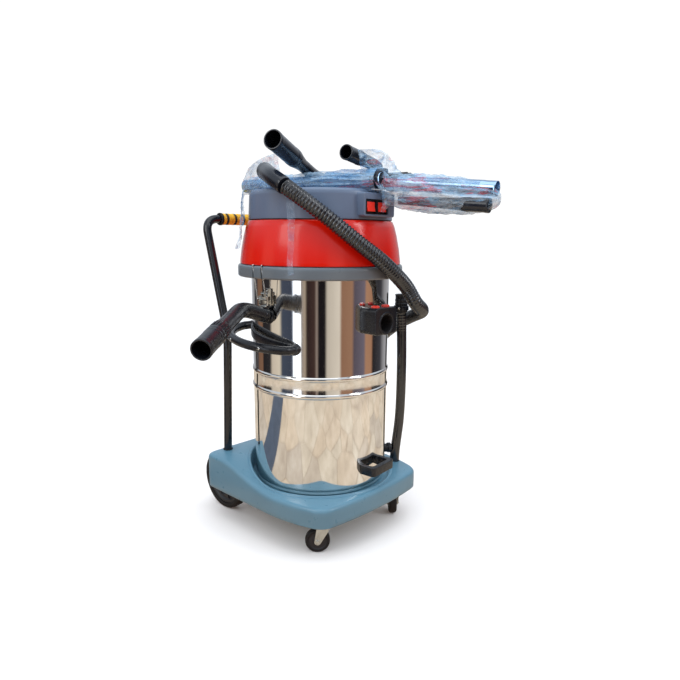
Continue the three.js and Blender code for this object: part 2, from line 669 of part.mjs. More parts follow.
// ---------- main hose ----------
const RUN = [
  [-205, -86, 985.6], [-203, -100, 977], [-187, -144, 947], [-161, -180, 915], [-129, -211, 880],
  [-89, -236, 845], [-38, -254, 809], [21, -261, 769], [81, -257, 728], [113, -262, 688],
  [161, -245, 668], [212, -214, 655], [264, -174, 640], [298, -112, 617], [318, -44, 585],
  [328, 23, 540], [335, 83, 483], [338, 110, 445], [340, 160, 370], [336, 210, 290],
  [328, 260, 205], [316, 310, 125], [302, 360, 65], [289, 412, 31], [282.5, 440, 24], [281.2, 464, 21.8],
];
add('main_hose_run', tubeAlong(smooth(RUN, 50), HOSE_R, 10), blackRubber);
const COIL_TURNS = 0.69;
function coilPoint(turn) {
  const angle = Math.PI - 2 * Math.PI * turn;
  const x = 281 + BEND_R + BEND_R * Math.cos(angle);
  return [x, 470 + BEND_R * Math.sin(angle), 21.5 + 2.6 * turn];
}
const COIL = [...Array(13).keys()].map((i) => coilPoint((COIL_TURNS * i) / 12));
add('main_hose_coil', tubeAlong(smooth(COIL, 20), HOSE_R, 10), blackRubber);
const [coilEnd, coilNext] = [coilPoint(COIL_TURNS), coilPoint(COIL_TURNS + 0.02)];
function cuffAt(far) {
  const [x, y] = between(coilEnd, coilNext, far / distance(coilEnd, coilNext));
  return [x, y, 23.4];
}
add('hose_cuff_far', hollowRod([cuffAt(4), cuffAt(94)], 22.6, 17, 20), blackPlastic);
const nearCuff = smooth([[-174, 35, 1034], [-206, -38, 1010], [-209, -82, 988.5]], 6);
add('hose_cuff_near', pipe(nearCuff.points.map((p) => [p.toArray(), 22.5, 17]), 16), blackPlastic);

export default part;
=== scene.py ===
"""A wet-and-dry shop vacuum on its trolley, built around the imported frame, in metres, +Z up."""
import math

import bmesh
import bpy
from mathutils import Matrix, Vector, noise


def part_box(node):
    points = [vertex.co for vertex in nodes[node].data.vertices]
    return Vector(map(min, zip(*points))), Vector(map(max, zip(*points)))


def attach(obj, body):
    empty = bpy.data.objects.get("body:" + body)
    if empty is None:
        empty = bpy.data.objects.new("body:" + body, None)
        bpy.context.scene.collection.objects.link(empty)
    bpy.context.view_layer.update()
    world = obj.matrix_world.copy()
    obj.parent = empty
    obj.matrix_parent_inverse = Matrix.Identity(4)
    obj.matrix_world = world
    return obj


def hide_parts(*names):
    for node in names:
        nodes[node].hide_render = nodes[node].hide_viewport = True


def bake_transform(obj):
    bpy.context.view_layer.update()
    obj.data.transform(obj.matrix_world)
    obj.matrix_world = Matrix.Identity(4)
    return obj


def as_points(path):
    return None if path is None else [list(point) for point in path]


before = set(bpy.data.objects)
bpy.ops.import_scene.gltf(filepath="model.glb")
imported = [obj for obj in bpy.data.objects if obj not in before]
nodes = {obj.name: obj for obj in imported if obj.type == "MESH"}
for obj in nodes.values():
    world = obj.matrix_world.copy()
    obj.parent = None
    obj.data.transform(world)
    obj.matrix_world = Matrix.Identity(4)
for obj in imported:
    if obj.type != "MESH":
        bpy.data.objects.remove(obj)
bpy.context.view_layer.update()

# ---------- frame of the machine ----------
LOW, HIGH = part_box("tank")
AXIS = Vector(((LOW.x + HIGH.x) / 2, (LOW.y + HIGH.y) / 2, 0.0))
SIDES = (("left", -1), ("right", 1))


def at(x, y, z):
    """A point given in millimetres from the tank's axis on the floor."""
    return AXIS + Vector((x, y, z)) / 1000


# ---------- camera ----------
CAMERA_PLACE = (-1.231, -1.231, 0.870)
CAMERA_BEARING = -45
CAMERA_PITCH, CAMERA_YAW, CAMERA_ROLL = 12.9, 1.95, 0.46
CAMERA_LENS = 31.17
CAMERA_RISE = 0.0441


def make_camera():
    pitch, yaw, roll = (math.radians(angle) for angle in (CAMERA_PITCH, CAMERA_YAW, CAMERA_ROLL))
    ahead = Vector((math.sin(yaw) * math.cos(pitch), math.cos(yaw) * math.cos(pitch), -math.sin(pitch)))
    right = Vector((math.cos(yaw), -math.sin(yaw), 0))
    up = right.cross(ahead)
    image_right = right * math.cos(roll) + up * math.sin(roll)
    image_up = up * math.cos(roll) - right * math.sin(roll)
    basis = Matrix((image_right, image_up, -ahead)).transposed()
    data = bpy.data.cameras.new("camera")
    data.sensor_width = 36
    data.lens = CAMERA_LENS
    data.shift_y = CAMERA_RISE
    data.clip_start = 0.01
    camera = bpy.data.objects.new("camera", data)
    bpy.context.scene.collection.objects.link(camera)
    camera.matrix_world = (
        Matrix.Translation(AXIS + Vector(CAMERA_PLACE))
        @ Matrix.Rotation(math.radians(CAMERA_BEARING), 4, "Z") @ basis.to_4x4()
    )
    bpy.context.scene.camera = camera


make_camera()


# ---------- node materials ----------
class NodeTree:
    """Short calls for the nodes of one tree."""

    def __init__(self, tree):
        self.nodes = tree.nodes
        self.links = tree.links

    def add(self, kind, **settings):
        node = self.nodes.new("ShaderNode" + kind)
        for key, value in settings.items():
            setattr(node, key, value)
        return node

    def plug(self, source, node, socket):
        self.links.new(source, node.inputs[socket])

    def feed(self, node, values):
        """Gives each socket a number, a colour or another node's output."""
        for socket, value in values.items():
            if isinstance(value, tuple):
                node.inputs[socket].default_value = (*value, 1)
            elif isinstance(value, (int, float)):
                node.inputs[socket].default_value = value
            else:
                self.plug(value, node, socket)

    def ramp(self, source, stops, interpolation="LINEAR"):
        node = self.add("ValToRGB")
        ramp = node.color_ramp
        ramp.interpolation = interpolation
        while len(ramp.elements) < len(stops):
            ramp.elements.new(1.0)
        for element, (position, color) in zip(ramp.elements, stops):
            element.position = position
            element.color = (*color, 1)
        self.plug(source, node, "Fac")
        return node.outputs["Color"]

    def span(self, source, low, high, from_low=0.3, from_high=0.7, interpolation="LINEAR"):
        node = self.add("MapRange", interpolation_type=interpolation)
        self.feed(node, {"From Min": from_low, "From Max": from_high, "To Min": low, "To Max": high,
                         "Value": source})
        return node.outputs["Result"]

    def math(self, operation, a, b=0):
        node = self.add("Math", operation=operation)
        self.feed(node, {0: a, 1: b})
        return node.outputs["Value"]

    def mix(self, factor, a, b, blend="MIX"):
        node = self.add("Mix", data_type="RGBA", blend_type=blend)
        self.feed(node, {"Factor": factor, 6: a, 7: b})
        return node.outputs[2]


class Shader(NodeTree):
    """A Principled material whose textures follow the object."""

    def __init__(self, name, color, roughness, metallic=0.0, **inputs):
        self.material = bpy.data.materials.new(name)
        self.material.use_nodes = True
        super().__init__(self.material.node_tree)
        self.main = self.nodes["Principled BSDF"]
        self.feed(self.main, {"Base Color": color, "Roughness": roughness, "Metallic": metallic})
        self.feed(self.main, {key.replace("_", " "): value for key, value in inputs.items()})
        self.place = self.add("TexCoord").outputs["Object"]

    def noise(self, scale, detail=4.0, rough=0.5, stretch=None, distortion=0.0):
        source = self.place
        if stretch:
            mapping = self.add("Mapping")
            mapping.inputs["Scale"].default_value = stretch
            self.plug(source, mapping, "Vector")
            source = mapping.outputs["Vector"]
        node = self.add("TexNoise")
        self.feed(node, {"Scale": scale, "Detail": detail, "Roughness": rough, "Distortion": distortion,
                         "Vector": source})
        return node.outputs["Fac"]

    def cells(self, output, scale, feature="F1"):
        node = self.add("TexVoronoi", feature=feature)
        self.feed(node, {"Scale": scale, "Randomness": 0.6, "Vector": self.place})
        return node.outputs[output]

    def bump(self, height, strength, distance=0.001):
        node = self.add("Bump")
        self.feed(node, {"Strength": strength, "Distance": distance, "Height": height})
        self.plug(node.outputs["Normal"], self.main, "Normal")

    def color(self, source):
        self.plug(source, self.main, "Base Color")

    def rough(self, source):
        self.plug(source, self.main, "Roughness")


def shade(color, factor):
    """A colour made lighter or darker."""
    return tuple(min(1.0, channel * factor) for channel in color)


def plastic(name, color, roughness, grain=900, grain_strength=0.08, coat=0.0, mottling=0.12,
            shine=0.5):
    """Moulded plastic: fine grain, faint colour drift and handling marks in the gloss."""
    s = Shader(name, color, roughness, Coat_Weight=coat, Coat_Roughness=0.12, Specular_IOR_Level=shine)
    drift = s.noise(7, 3)
    s.color(s.ramp(drift, [(0.3, shade(color, 1 - mottling)), (0.7, shade(color, 1 + mottling))]))
    s.rough(s.span(s.noise(38, 5, 0.65), roughness * 0.8, min(1, roughness * 1.25)))
    s.bump(s.noise(grain, 2), grain_strength, 0.00015)
    return s.material


def polished_steel():
    """Mirror steel: shallow waves in the sheet, wiped haze in its gloss, and upright streaks in its colour
    that are partly wiped smudges and partly painted reflection.
    """
    s = Shader("polished_steel", (0.86, 0.84, 0.81), 0.05, 1.0)
    # Upright streaks in the colour: partly wiped smudges, partly painted reflection of the room's upright
    # bands.
    smudge_and_reflection_streaks = s.noise(6, 4, 0.6, stretch=(1, 1, 0.25))
    s.color(s.ramp(smudge_and_reflection_streaks, [(0.3, (0.80, 0.775, 0.74)), (0.62, (0.90, 0.885, 0.86))]))
    s.rough(s.span(s.noise(24, 6, 0.7, stretch=(1, 1, 0.4)), 0.03, 0.10))
    s.bump(s.noise(9, 3, 0.5, stretch=(1, 1, 0.12)), 0.16, 0.0012)
    return s.material


def bright_metal(name, color, low, high, scale):
    """Plated or cast metal: blotches in its colour, marks in its gloss."""
    s = Shader(name, color, low, 1.0)
    s.color(s.ramp(s.noise(scale * 0.3, 4), [(0.35, shade(color, 0.82)), (0.65, shade(color, 1.06))]))
    s.rough(s.span(s.noise(scale, 5), low, high))
    s.bump(s.noise(scale * 6, 2), 0.04, 0.0001)
    return s.material


BAND_PITCH = 0.030
BAND_START = 10.011


def banded_foam():
    """Black foam grip with yellow bands along X, open-cell bump."""
    s = Shader("banded_foam", (0.02, 0.02, 0.02), 0.75)
    split = s.add("SeparateXYZ")
    s.plug(s.place, split, "Vector")
    along = s.math("ADD", split.outputs["X"], BAND_START - AXIS.x)
    phase = s.math("FRACT", s.math("MULTIPLY", along, 1 / BAND_PITCH))
    worn = s.ramp(s.noise(55, 4), [(0.3, (0.62, 0.33, 0.012)), (0.7, (0.92, 0.56, 0.03))])
    band = s.ramp(phase, [(0.0, (0, 0, 0)), (0.30, (1, 1, 1))], "CONSTANT")
    s.color(s.mix(band, (0.018, 0.017, 0.016), worn))
    s.rough(s.span(s.noise(300, 3), 0.6, 0.9))
    s.bump(s.noise(1400, 3), 0.5, 0.0007)
    return s.material


def clear_film(name, clearest, cloudiest):
    """Thin crinkled film: clear blue with milky creases, a few pink streaks and sharp glints."""
    s = Shader(name, (0.45, 0.66, 0.86), 0.08, Specular_IOR_Level=1.0)
    crease = s.noise(24, 8, 0.74, stretch=(1.8, 0.5, 1.8), distortion=1.4)
    streak = s.noise(22, 5, 0.6, stretch=(1.0, 0.08, 1.3))
    s.color(s.ramp(streak, [
        (0.34, (0.06, 0.22, 0.50)), (0.43, (0.20, 0.46, 0.78)), (0.50, (0.48, 0.70, 0.90)),
        (0.56, (0.24, 0.50, 0.78)), (0.60, (0.62, 0.16, 0.24)), (0.645, (0.46, 0.62, 0.82)),
    ]))
    s.plug(s.span(crease, clearest, cloudiest, 0.40, 0.68), s.main, "Alpha")
    s.rough(s.span(s.noise(60, 4), 0.04, 0.20))
    s.bump(crease, 0.8, 0.003)
    return s.material


def cloth_filter():
    s = Shader("cloth_filter", (0.78, 0.77, 0.72), 0.95, Sheen_Weight=0.3)
    s.color(s.ramp(s.noise(30, 6), [(0.3, (0.66, 0.64, 0.58)), (0.7, (0.85, 0.84, 0.8))]))
    s.bump(s.noise(700, 5), 0.5, 0.001)
    return s.material


def studio_floor():
    s = Shader("studio_floor", (0.92, 0.92, 0.92), 0.6)
    s.color(s.ramp(s.noise(1.5, 4), [(0.3, (0.91, 0.91, 0.91)), (0.7, (0.94, 0.94, 0.94))]))
    return s.material


SLAB_SCALE = 3.2


def paving_stone():
    """Warm stone slabs with darker joints, each slab of its own tint."""
    s = Shader("paving", (0.5, 0.42, 0.32), 0.5)
    joint = s.ramp(s.cells("Distance", SLAB_SCALE, "DISTANCE_TO_EDGE"),
                   [(0.0, (0.45, 0.38, 0.32)), (0.028, (1, 1, 1))])
    stone = s.ramp(s.noise(4.2, 8, 0.7),
                   [(0.3, (0.40, 0.33, 0.25)), (0.5, (0.54, 0.46, 0.35)), (0.7, (0.66, 0.59, 0.48))])
    warm = s.ramp(s.cells("Color", SLAB_SCALE),
                  [(0.2, (0.80, 0.78, 0.80)), (0.5, (1.0, 0.92, 0.85)), (0.8, (1.0, 1.0, 1.0))])
    s.color(s.mix(0.8, s.mix(0.6, stone, joint, "MULTIPLY"), warm, "MULTIPLY"))
    return s.material


def ground_shadow_paint():
    # A dark blue-grey patch: painted shadow of the machine on the ground, seen only in reflections.
    s = Shader("painted_shadow", (0.045, 0.066, 0.105), 0.6)
    s.color(s.ramp(s.noise(9, 5), [(0.3, (0.036, 0.054, 0.088)), (0.7, (0.056, 0.080, 0.125))]))
    return s.material


# A plastic's numbers: colour, roughness, grain scale, grain strength, coat, mottling, shine.
# A bright metal's numbers: colour, lowest and highest roughness, scale of the marks.
MAT = {
    "steel": polished_steel(),
    # The wand chrome's blue tint is painted reflection: blue surroundings mirrored in the chrome, put into
    # its colour.
    "chrome": bright_metal("wand_chrome", (0.42, 0.62, 0.86), 0.04, 0.10, 24),
    "zinc": bright_metal("zinc_plate", (0.74, 0.75, 0.73), 0.10, 0.22, 40),
    "deck": plastic("deck_plastic", (0.105, 0.250, 0.355), 0.32, 1200, 0.08, 0.12, 0.06),
    "red": plastic("red_shell", (0.64, 0.009, 0.001), 0.22, 1500, 0.03, 0.35, 0.06, 0.35),
    "grey": plastic("grey_shell", (0.115, 0.165, 0.205), 0.33, 1200, 0.06, 0.2, 0.06),
    "cap": plastic("blue_grey_shell", (0.105, 0.165, 0.270), 0.33, 1200, 0.06, 0.2, 0.06),
    "black": plastic("black_plastic", (0.007, 0.009, 0.014), 0.28, 900, 0.06, 0.0, 0.2, 0.5),
    "tool": plastic("tool_plastic", (0.008, 0.012, 0.021), 0.24, 700, 0.08, 0.3, 0.25, 0.4),
    "enamel": plastic("black_enamel", (0.006, 0.007, 0.011), 0.16, 500, 0.04, 0.5, 0.2, 0.4),
    "rubber": plastic("soft_rubber", (0.011, 0.011, 0.013), 0.60, 600, 0.2, 0.0, 0.3, 0.35),
    "hose": plastic("hose_plastic", (0.006, 0.008, 0.013), 0.17, 700, 0.03, 0.0, 0.2, 1.0),
    "button": plastic("button_red", (0.78, 0.030, 0.012), 0.30, 900, 0.03, 0.3, 0.05),
    # Near-black filler: painted shade in the seams under the covers and in the wand's open end.
    "dark": plastic("painted_gap_shade", (0.008, 0.008, 0.010), 0.6, 900, 0.05, 0.0, 0.1),
    "wheel": plastic("wheel_grey", (0.020, 0.022, 0.027), 0.48, 800, 0.12, 0.0, 0.25),
    "foam": banded_foam(),
    "film": clear_film("clear_film", 0.26, 0.80),
    "thin_film": clear_film("thin_film", 0.05, 0.34),
    "cloth": cloth_filter(),
    "cast": bright_metal("cast_alloy", (0.55, 0.55, 0.56), 0.45, 0.6, 120),
    "floor": studio_floor(),
    "paving": paving_stone(),
    "painted_shadow": ground_shadow_paint(),
}


# ---------- meshes ----------
def mesh_object(name, verts, faces, material, sharp=40):
    """A smooth-shaded mesh whose edges stay sharp where they turn more than `sharp` degrees."""
    data = bpy.data.meshes.new(name)
    data.from_pydata([tuple(v) for v in verts], [], faces)
    obj = bpy.data.objects.new(name, data)
    bpy.context.scene.collection.objects.link(obj)
    data.materials.append(MAT[material])
    finish_mesh(obj, sharp)
    return obj


def finish_mesh(obj, sharp=40):
    work = bmesh.new()
    work.from_mesh(obj.data)
    bmesh.ops.remove_doubles(work, verts=work.verts, dist=1e-6)
    bmesh.ops.recalc_face_normals(work, faces=work.faces)
    limit = math.radians(sharp)
    for face in work.faces:
        face.smooth = True
    for edge in work.edges:
        edge.smooth = len(edge.link_faces) != 2 or edge.calc_face_angle(0) < limit
    work.to_mesh(obj.data)
    work.free()


def bake_modifiers(obj, sharp=40):
    bpy.context.view_layer.update()
    shown = obj.evaluated_get(bpy.context.evaluated_depsgraph_get())
    made = bpy.data.meshes.new_from_object(shown)
    obj.modifiers.clear()
    obj.data = made
    finish_mesh(obj, sharp)
    return obj


def bevel(obj, width, segments=3, angle=35):
    """Rounds the edges that turn more than `angle` degrees; the width is in millimetres."""
    modifier = obj.modifiers.new("bevel", "BEVEL")
    modifier.width = width / 1000
    modifier.segments = segments
    modifier.limit_method = "ANGLE"
    modifier.angle_limit = math.radians(angle)
    return bake_modifiers(obj)


def grid_faces(rows, columns, around=True, back=False):
    """Quads between rows of points; `around` closes each row, `back` joins the last row to the first."""
    faces = []
    for row in range(rows if back else rows - 1):
        a, b = row * columns, (row + 1) % rows * columns
        for k in range(columns if around else columns - 1):
            n = (k + 1) % columns
            faces.append((a + k, a + n, b + n, b + k))
    return faces


def end_faces(rows, columns):
    """The polygons that close the first row and the last."""
    return [tuple(range(columns))[::-1], tuple(range((rows - 1) * columns, rows * columns))]


def pulled(start, pull, end, steps):
    """Points along the curve from start to end that leans towards `pull`, both ends kept."""
    return [start * (1 - t) ** 2 + pull * 2 * t * (1 - t) + end * t * t
            for t in (k / steps for k in range(steps + 1))]


def fillet(points, radius, steps=4):
    """Rounds the corners of a closed 2-D outline. A point may be (x, y) or (x, y, its own radius)."""
    count = len(points)
    result = []
    for i, point in enumerate(points):
        own = point[2] if len(point) > 2 else radius
        p = Vector(point[:2])
        if own <= 0:
            result.append(p)
            continue
        before, after = Vector(points[i - 1][:2]), Vector(points[(i + 1) % count][:2])
        d1, d2 = before - p, after - p
        reach = min(own, d1.length * 0.49, d2.length * 0.49)
        result += pulled(p + d1.normalized() * reach, p, p + d2.normalized() * reach, steps)
    return result


def mirrored(half):
    """A profile and its mirror image on the other side of the middle plane."""
    return half + [(radius, -z) for radius, z in reversed(half)]


def lathe(name, profile, material, steps=128, radius=1.5, place=None, sharp=40):
    """Turns a closed profile of (radius, z) in millimetres about Z, its corners rounded, and places it."""
    outline = fillet(profile, radius)
    verts = []
    for k in range(steps):
        a = 2 * math.pi * k / steps
        verts += [Vector((p.x * math.cos(a), p.x * math.sin(a), p.y)) / 1000 for p in outline]
    faces = grid_faces(steps, len(outline), back=True)
    obj = mesh_object(name, verts, faces, material, sharp)
    obj.data.transform(place or Matrix.Translation(AXIS))
    return obj


def round_cutter(radius, low, high, steps, place=None):
    """A plain cylinder between two heights, to be cut out of something."""
    profile = [(0.01, low), (radius, low), (radius, high), (0.01, high)]
    return lathe("cutter", profile, "dark", steps, 0, place)


def extrude(name, outline, low, high, material, rounding=0.0, place=None, steps=3):
    """Stands a 2-D outline in millimetres between two heights, rounds its edges and places it."""
    verts = [Vector((p[0], p[1], z)) / 1000 for z in (low, high) for p in outline]
    n = len(outline)
    obj = mesh_object(name, verts, end_faces(2, n) + grid_faces(2, n), material)
    if rounding:
        bevel(obj, rounding, steps)
    obj.data.transform(place or Matrix.Translation(AXIS))
    return obj


def rounded_box(size, radius, steps=4):
    x, y = size[0] / 2, size[1] / 2
    return fillet([(-x, -y), (x, -y), (x, y), (-x, y)], radius, steps)


def placed(point, turn=0.0, axis="Z"):
    return Matrix.Translation(at(*point)) @ Matrix.Rotation(math.radians(turn), 4, axis)


# Turns that stand a drawn outline upright: its extrusion then runs to the front, or to the right.
FACE_FRONT = Matrix(((1, 0, 0, 0), (0, 0, -1, 0), (0, 1, 0, 0), (0, 0, 0, 1)))
FACE_SIDE = Matrix(((0, 0, 1, 0), (1, 0, 0, 0), (0, 1, 0, 0), (0, 0, 0, 1)))


def frames(points):
    """Tangents with a side vector carried along the path without twisting."""
    count = len(points)
    tangents = [
        (points[min(i + 1, count - 1)] - points[max(i - 1, 0)]).normalized() for i in range(count)
    ]
    side = tangents[0].orthogonal().normalized()
    result = []
    for tangent in tangents:
        side = (side - tangent * side.dot(tangent)).normalized()
        result.append((tangent, side, tangent.cross(side)))
    return result


def tube(name, stations, material, sides=24, sharp=40, axes=None):
    """Sweeps circles along stations of (point, radius), with closed ends."""
    axes = axes or frames([point for point, _ in stations])
    verts = []
    for (point, radius), (_, side, other) in zip(stations, axes):
        for k in range(sides):
            a = 2 * math.pi * k / sides
            verts.append(point + side * (radius * math.cos(a)) + other * (radius * math.sin(a)))
    count = len(stations)
    return mesh_object(name, verts, grid_faces(count, sides) + end_faces(count, sides), material, sharp)


def flow(points, step):
    """A centripetal Catmull-Rom curve through the points, cut into equal steps."""
    padded = [points[0] * 2 - points[1], *points, points[-1] * 2 - points[-2]]
    dense = []
    for a, b, c, d in zip(padded, padded[1:], padded[2:], padded[3:]):
        t0, t1 = 0.0, (b - a).length ** 0.5
        t2 = t1 + (c - b).length ** 0.5
        t3 = t2 + (d - c).length ** 0.5
        for k in range(24):
            t = t1 + (t2 - t1) * k / 24
            a1 = a * ((t1 - t) / (t1 - t0)) + b * ((t - t0) / (t1 - t0))
            a2 = b * ((t2 - t) / (t2 - t1)) + c * ((t - t1) / (t2 - t1))
            a3 = c * ((t3 - t) / (t3 - t2)) + d * ((t - t2) / (t3 - t2))
            b1 = a1 * ((t2 - t) / (t2 - t0)) + a2 * ((t - t0) / (t2 - t0))
            b2 = a2 * ((t3 - t) / (t3 - t1)) + a3 * ((t - t1) / (t3 - t1))
            dense.append(b1 * ((t2 - t) / (t2 - t1)) + b2 * ((t - t1) / (t2 - t1)))
    dense.append(points[-1])
    return even(dense, step)


def run_length(points):
    return sum((b - a).length for a, b in zip(points, points[1:]))


def even(dense, step):
    """Points at equal distances along a polyline, its ends kept."""
    total = run_length(dense)
    count = max(2, round(total / step))
    result, travelled, wanted = [dense[0]], 0.0, total / count
    for a, b in zip(dense, dense[1:]):
        length = (b - a).length
        while travelled + length >= wanted - 1e-9 and len(result) < count:
            result.append(a.lerp(b, (wanted - travelled) / length))
            wanted += total / count
        travelled += length
    return result + [dense[-1]]


def bent(points, reach, step):
    """Straight runs with round corners, cut into equal steps."""
    dense = [points[0]]
    for a, b, c in zip(points, points[1:], points[2:]):
        dense += pulled(b + (a - b).normalized() * reach, b, b + (c - b).normalized() * reach, 12)
    return even(dense + [points[-1]], step)


def straight(a, b, count):
    return [a.lerp(b, k / (count - 1)) for k in range(count)]


def hollow(name, path, outer, inner, material, depth, sides=32):
    """A pipe with an open, rounded mouth at its end, and a bore `depth` deep.

    outer(share, distance) gives the outside radius along the path.
    """
    length = [run_length(path[:i + 1]) for i in range(len(path))]
    total = length[-1]
    stations = [(p, outer(s / total, s)) for p, s in zip(path, length)]
    tip = (path[-1] - path[-2]).normalized()
    edge = stations[-1][1]
    lip = (edge - inner) / 2
    stations += [
        (path[-1] + tip * (lip * 0.5), edge - lip * 0.35), (path[-1] + tip * (lip * 0.65), edge - lip),
        (path[-1] + tip * (lip * 0.5), inner + lip * 0.35), (path[-1], inner),
    ]
    back = [p for p, s in zip(path, length) if s > total - depth][:-1]
    stations += [(p, inner) for p in reversed(back)]
    return tube(name, stations, material, sides, axes=nearest_frames(path, stations))


def nearest_frames(path, stations):
    """The frame of the nearest path point for each station, so that a tube can turn back on itself."""
    known = frames(path)
    result = []
    for point, _ in stations:
        nearest = min(range(len(path)), key=lambda i: (path[i] - point).length_squared)
        result.append(known[nearest])
    return result


def carve(obj, *cutters, sharp=40):
    """Cuts closed meshes out of a piece and drops them."""
    for cutter in cutters:
        modifier = obj.modifiers.new("cut", "BOOLEAN")
        modifier.operation = "DIFFERENCE"
        modifier.solver = "EXACT"
        modifier.object = cutter
    bake_modifiers(obj, sharp)
    for cutter in cutters:
        bpy.data.objects.remove(cutter)
    return obj


def joined(name, *objects):
    """Merges pieces into one object, with each one's material."""
    base = objects[0]
    work = bmesh.new()
    materials = []
    for obj in objects:
        start = len(work.faces)
        work.from_mesh(obj.data)
        work.faces.ensure_lookup_table()
        slots = []
        for material in obj.data.materials:
            if material not in materials:
                materials.append(material)
            slots.append(materials.index(material))
        for face in work.faces[start:]:
            face.material_index = slots[face.material_index]
    data = bpy.data.meshes.new(name)
    work.to_mesh(data)
    work.free()
    for material in materials:
        data.materials.append(material)
    for obj in objects[1:]:
        bpy.data.objects.remove(obj)
    base.data = data
    base.name = name
    return base


def keep(piece, body, slot, *replaced):
    """Hangs a finished piece on the body it rides on and hides the CAD nodes it stands for; the slot is not
    used.
    """
    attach(piece, body)
    if replaced:
        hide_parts(*replaced)
    return piece


# ---------- main hose -----------------------------------------------
HOSE_R = 0.0205
HOSE_RIBS = (1.0, 0.995, 0.93, 0.865, 0.93)
RIB_PITCH = 0.0090
RUN = [
    (-205, -86, 985.6), (-203, -100, 977), (-187, -144, 947), (-161, -180, 915), (-129, -211, 880),
    (-89, -236, 845), (-38, -254, 809), (21, -261, 769), (81, -257, 728), (113, -262, 688),
    (161, -245, 668), (212, -214, 655), (264, -174, 640), (298, -112, 617), (318, -44, 585),
    (328, 23, 540), (335, 83, 483), (338, 110, 445), (340, 160, 370), (336, 210, 290),
    (328, 260, 205), (316, 310, 125), (302, 360, 65), (289, 412, 31), (282.5, 440, 24),
    (281.2, 464, 21.8),
]
NEAR_CUFF = [(-209, -82, 988.5), (-206, -38, 1010), (-174, 35, 1034)]
COIL_R = 170
COIL_START = (281, 470, 21.5)
COIL_CLIMB = 2.6
COIL_TURNS = 0.69


def coil_point(turn):
    angle = math.pi - 2 * math.pi * turn
    x, y, z = COIL_START
    return at(x + COIL_R + COIL_R * math.cos(angle), y + COIL_R * math.sin(angle), z + COIL_CLIMB * turn)


def make_main_hose():
    """The hose from the cuff over the head, down behind the machine, to its coil on the floor."""
    coil = [coil_point(COIL_TURNS * i / 12) for i in range(13)]
    route = flow([at(*p) for p in RUN] + coil, RIB_PITCH / len(HOSE_RIBS))
    stations = [(p, HOSE_R * HOSE_RIBS[i % len(HOSE_RIBS)]) for i, p in enumerate(route)]
    hose = tube("main_hose", stations, "hose", 28, sharp=70)
    end, beyond = coil_point(COIL_TURNS), coil_point(COIL_TURNS + 0.02)
    heading = (beyond - end).normalized()
    heading.z = 0
    start = Vector((end.x, end.y, 0.0234)) + heading * 0.004
    far = hollow("hose_cuff_far_end", straight(start, start + heading * 0.086, 12), cuff_radius,
                 0.017, "tool", 0.06)
    near = hollow("hose_cuff_near_end", flow([at(*p) for p in NEAR_CUFF], 0.006), cuff_radius,
                  0.0175, "tool", 0.07)
    keep(far, "machine", "black_plastic", "hose_cuff_far")
    keep(near, "head", "black_plastic", "hose_cuff_near")
    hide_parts("main_hose_run", "main_hose_coil")
    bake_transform(hose)
    tuple(route[0])
    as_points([tuple(p) for p in route[::8]] + [tuple(route[-1])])


def cuff_radius(share, distance):
    """A hose cuff: a smooth barrel with two low steps at the hose's side."""
    if distance < 0.004:
        return 0.0212
    if distance < 0.016:
        return 0.0226
    if distance < 0.018:
        return 0.0216
    return 0.0222 if share < 0.9 else 0.0226


make_main_hose()


# ---------- trolley ----------
WHEEL_X = 170
AXLE_Y, AXLE_Z = 260, 95
CASTER_X, CASTER_Y = 155, -172
CASTER_TRAIL, ROLLER_Z = 0.020, 0.035
DRAIN_FOOT = (213, -128)
DECK_HALF = 248
DECK_FRONT_Z, DECK_RISE = 156, 49
SKIRT_Z = 98
RECESS_Z = 149.7
# The deck's plan as curves, each with its start, its pull and its end.
DECK_FRONT = ((-175, -226), (0, -250), (175, -226))
DECK_RIGHT = [
    ((175, -226), (212, -220), (222, -185)), ((222, -185), (248, -110), (248, -30)),
    ((248, -30), (248, 101), (248, 232)), ((248, 232), (248, 262), (218, 262)),
]
DECK_BACK = ((218, 262), (0, 262), (-218, 262))


def deck_outline(steps=18):
    left = [tuple((-x, y) for x, y in reversed(curve)) for curve in reversed(DECK_RIGHT)]
    points = []
    for curve in (DECK_FRONT, *DECK_RIGHT, DECK_BACK, *left):
        points += pulled(*(Vector(point) for point in curve), steps)[:-1]
    return points


def deck_top(y):
    """The height of the deck's top, which rises smoothly from the front to the back."""
    t = min(1.0, max(0.0, (y + 40) / 240))
    return DECK_FRONT_Z + DECK_RISE * t * t * (3 - 2 * t)


def deck_ring(outline, inset=None, radius=None, drop=None, level=None):
    """One ring of the deck: the plan drawn in, or a circle; at a level or below the top surface."""
    ring = []
    for p in outline:
        q = p.normalized() * radius if radius else p * (1 - inset / DECK_HALF)
        ring.append(Vector((q.x, q.y, level if drop is None else deck_top(q.y) - drop)) / 1000)
    return ring


def deck_rings(outline):
    """The deck from its underside, out and up over the rim, and down into the tank's round recess."""
    rings = [
        deck_ring(outline, radius=1, level=143), deck_ring(outline, radius=220, level=143),
        deck_ring(outline, radius=220.5, drop=6), deck_ring(outline, inset=5, drop=6),
    ]
    for inset, rise in ((5, 1), (4, 0), (1, 0), (0, 1.5), (0, 12), (0, 24), (0, 36)):
        rings.append(deck_ring(outline, inset=inset, level=SKIRT_Z + rise))
    for inset, drop in ((0.2, 13), (1, 9), (2.6, 5.6), (5, 2.8), (8, 1), (11, 0.2)):
        rings.append(deck_ring(outline, inset=inset, drop=drop))
    for radius, drop in ((226, 0), (225, 0), (224, -1.2), (223, -3.4), (221.5, -4.6), (219, -4.8),
                         (217, -4), (215.5, -2), (214.6, 1)):
        rings.append(deck_ring(outline, radius=radius, drop=drop))
    for radius, level in ((214, 152), (211, RECESS_Z), (1, RECESS_Z)):
        rings.append(deck_ring(outline, radius=radius, level=level))
    return rings


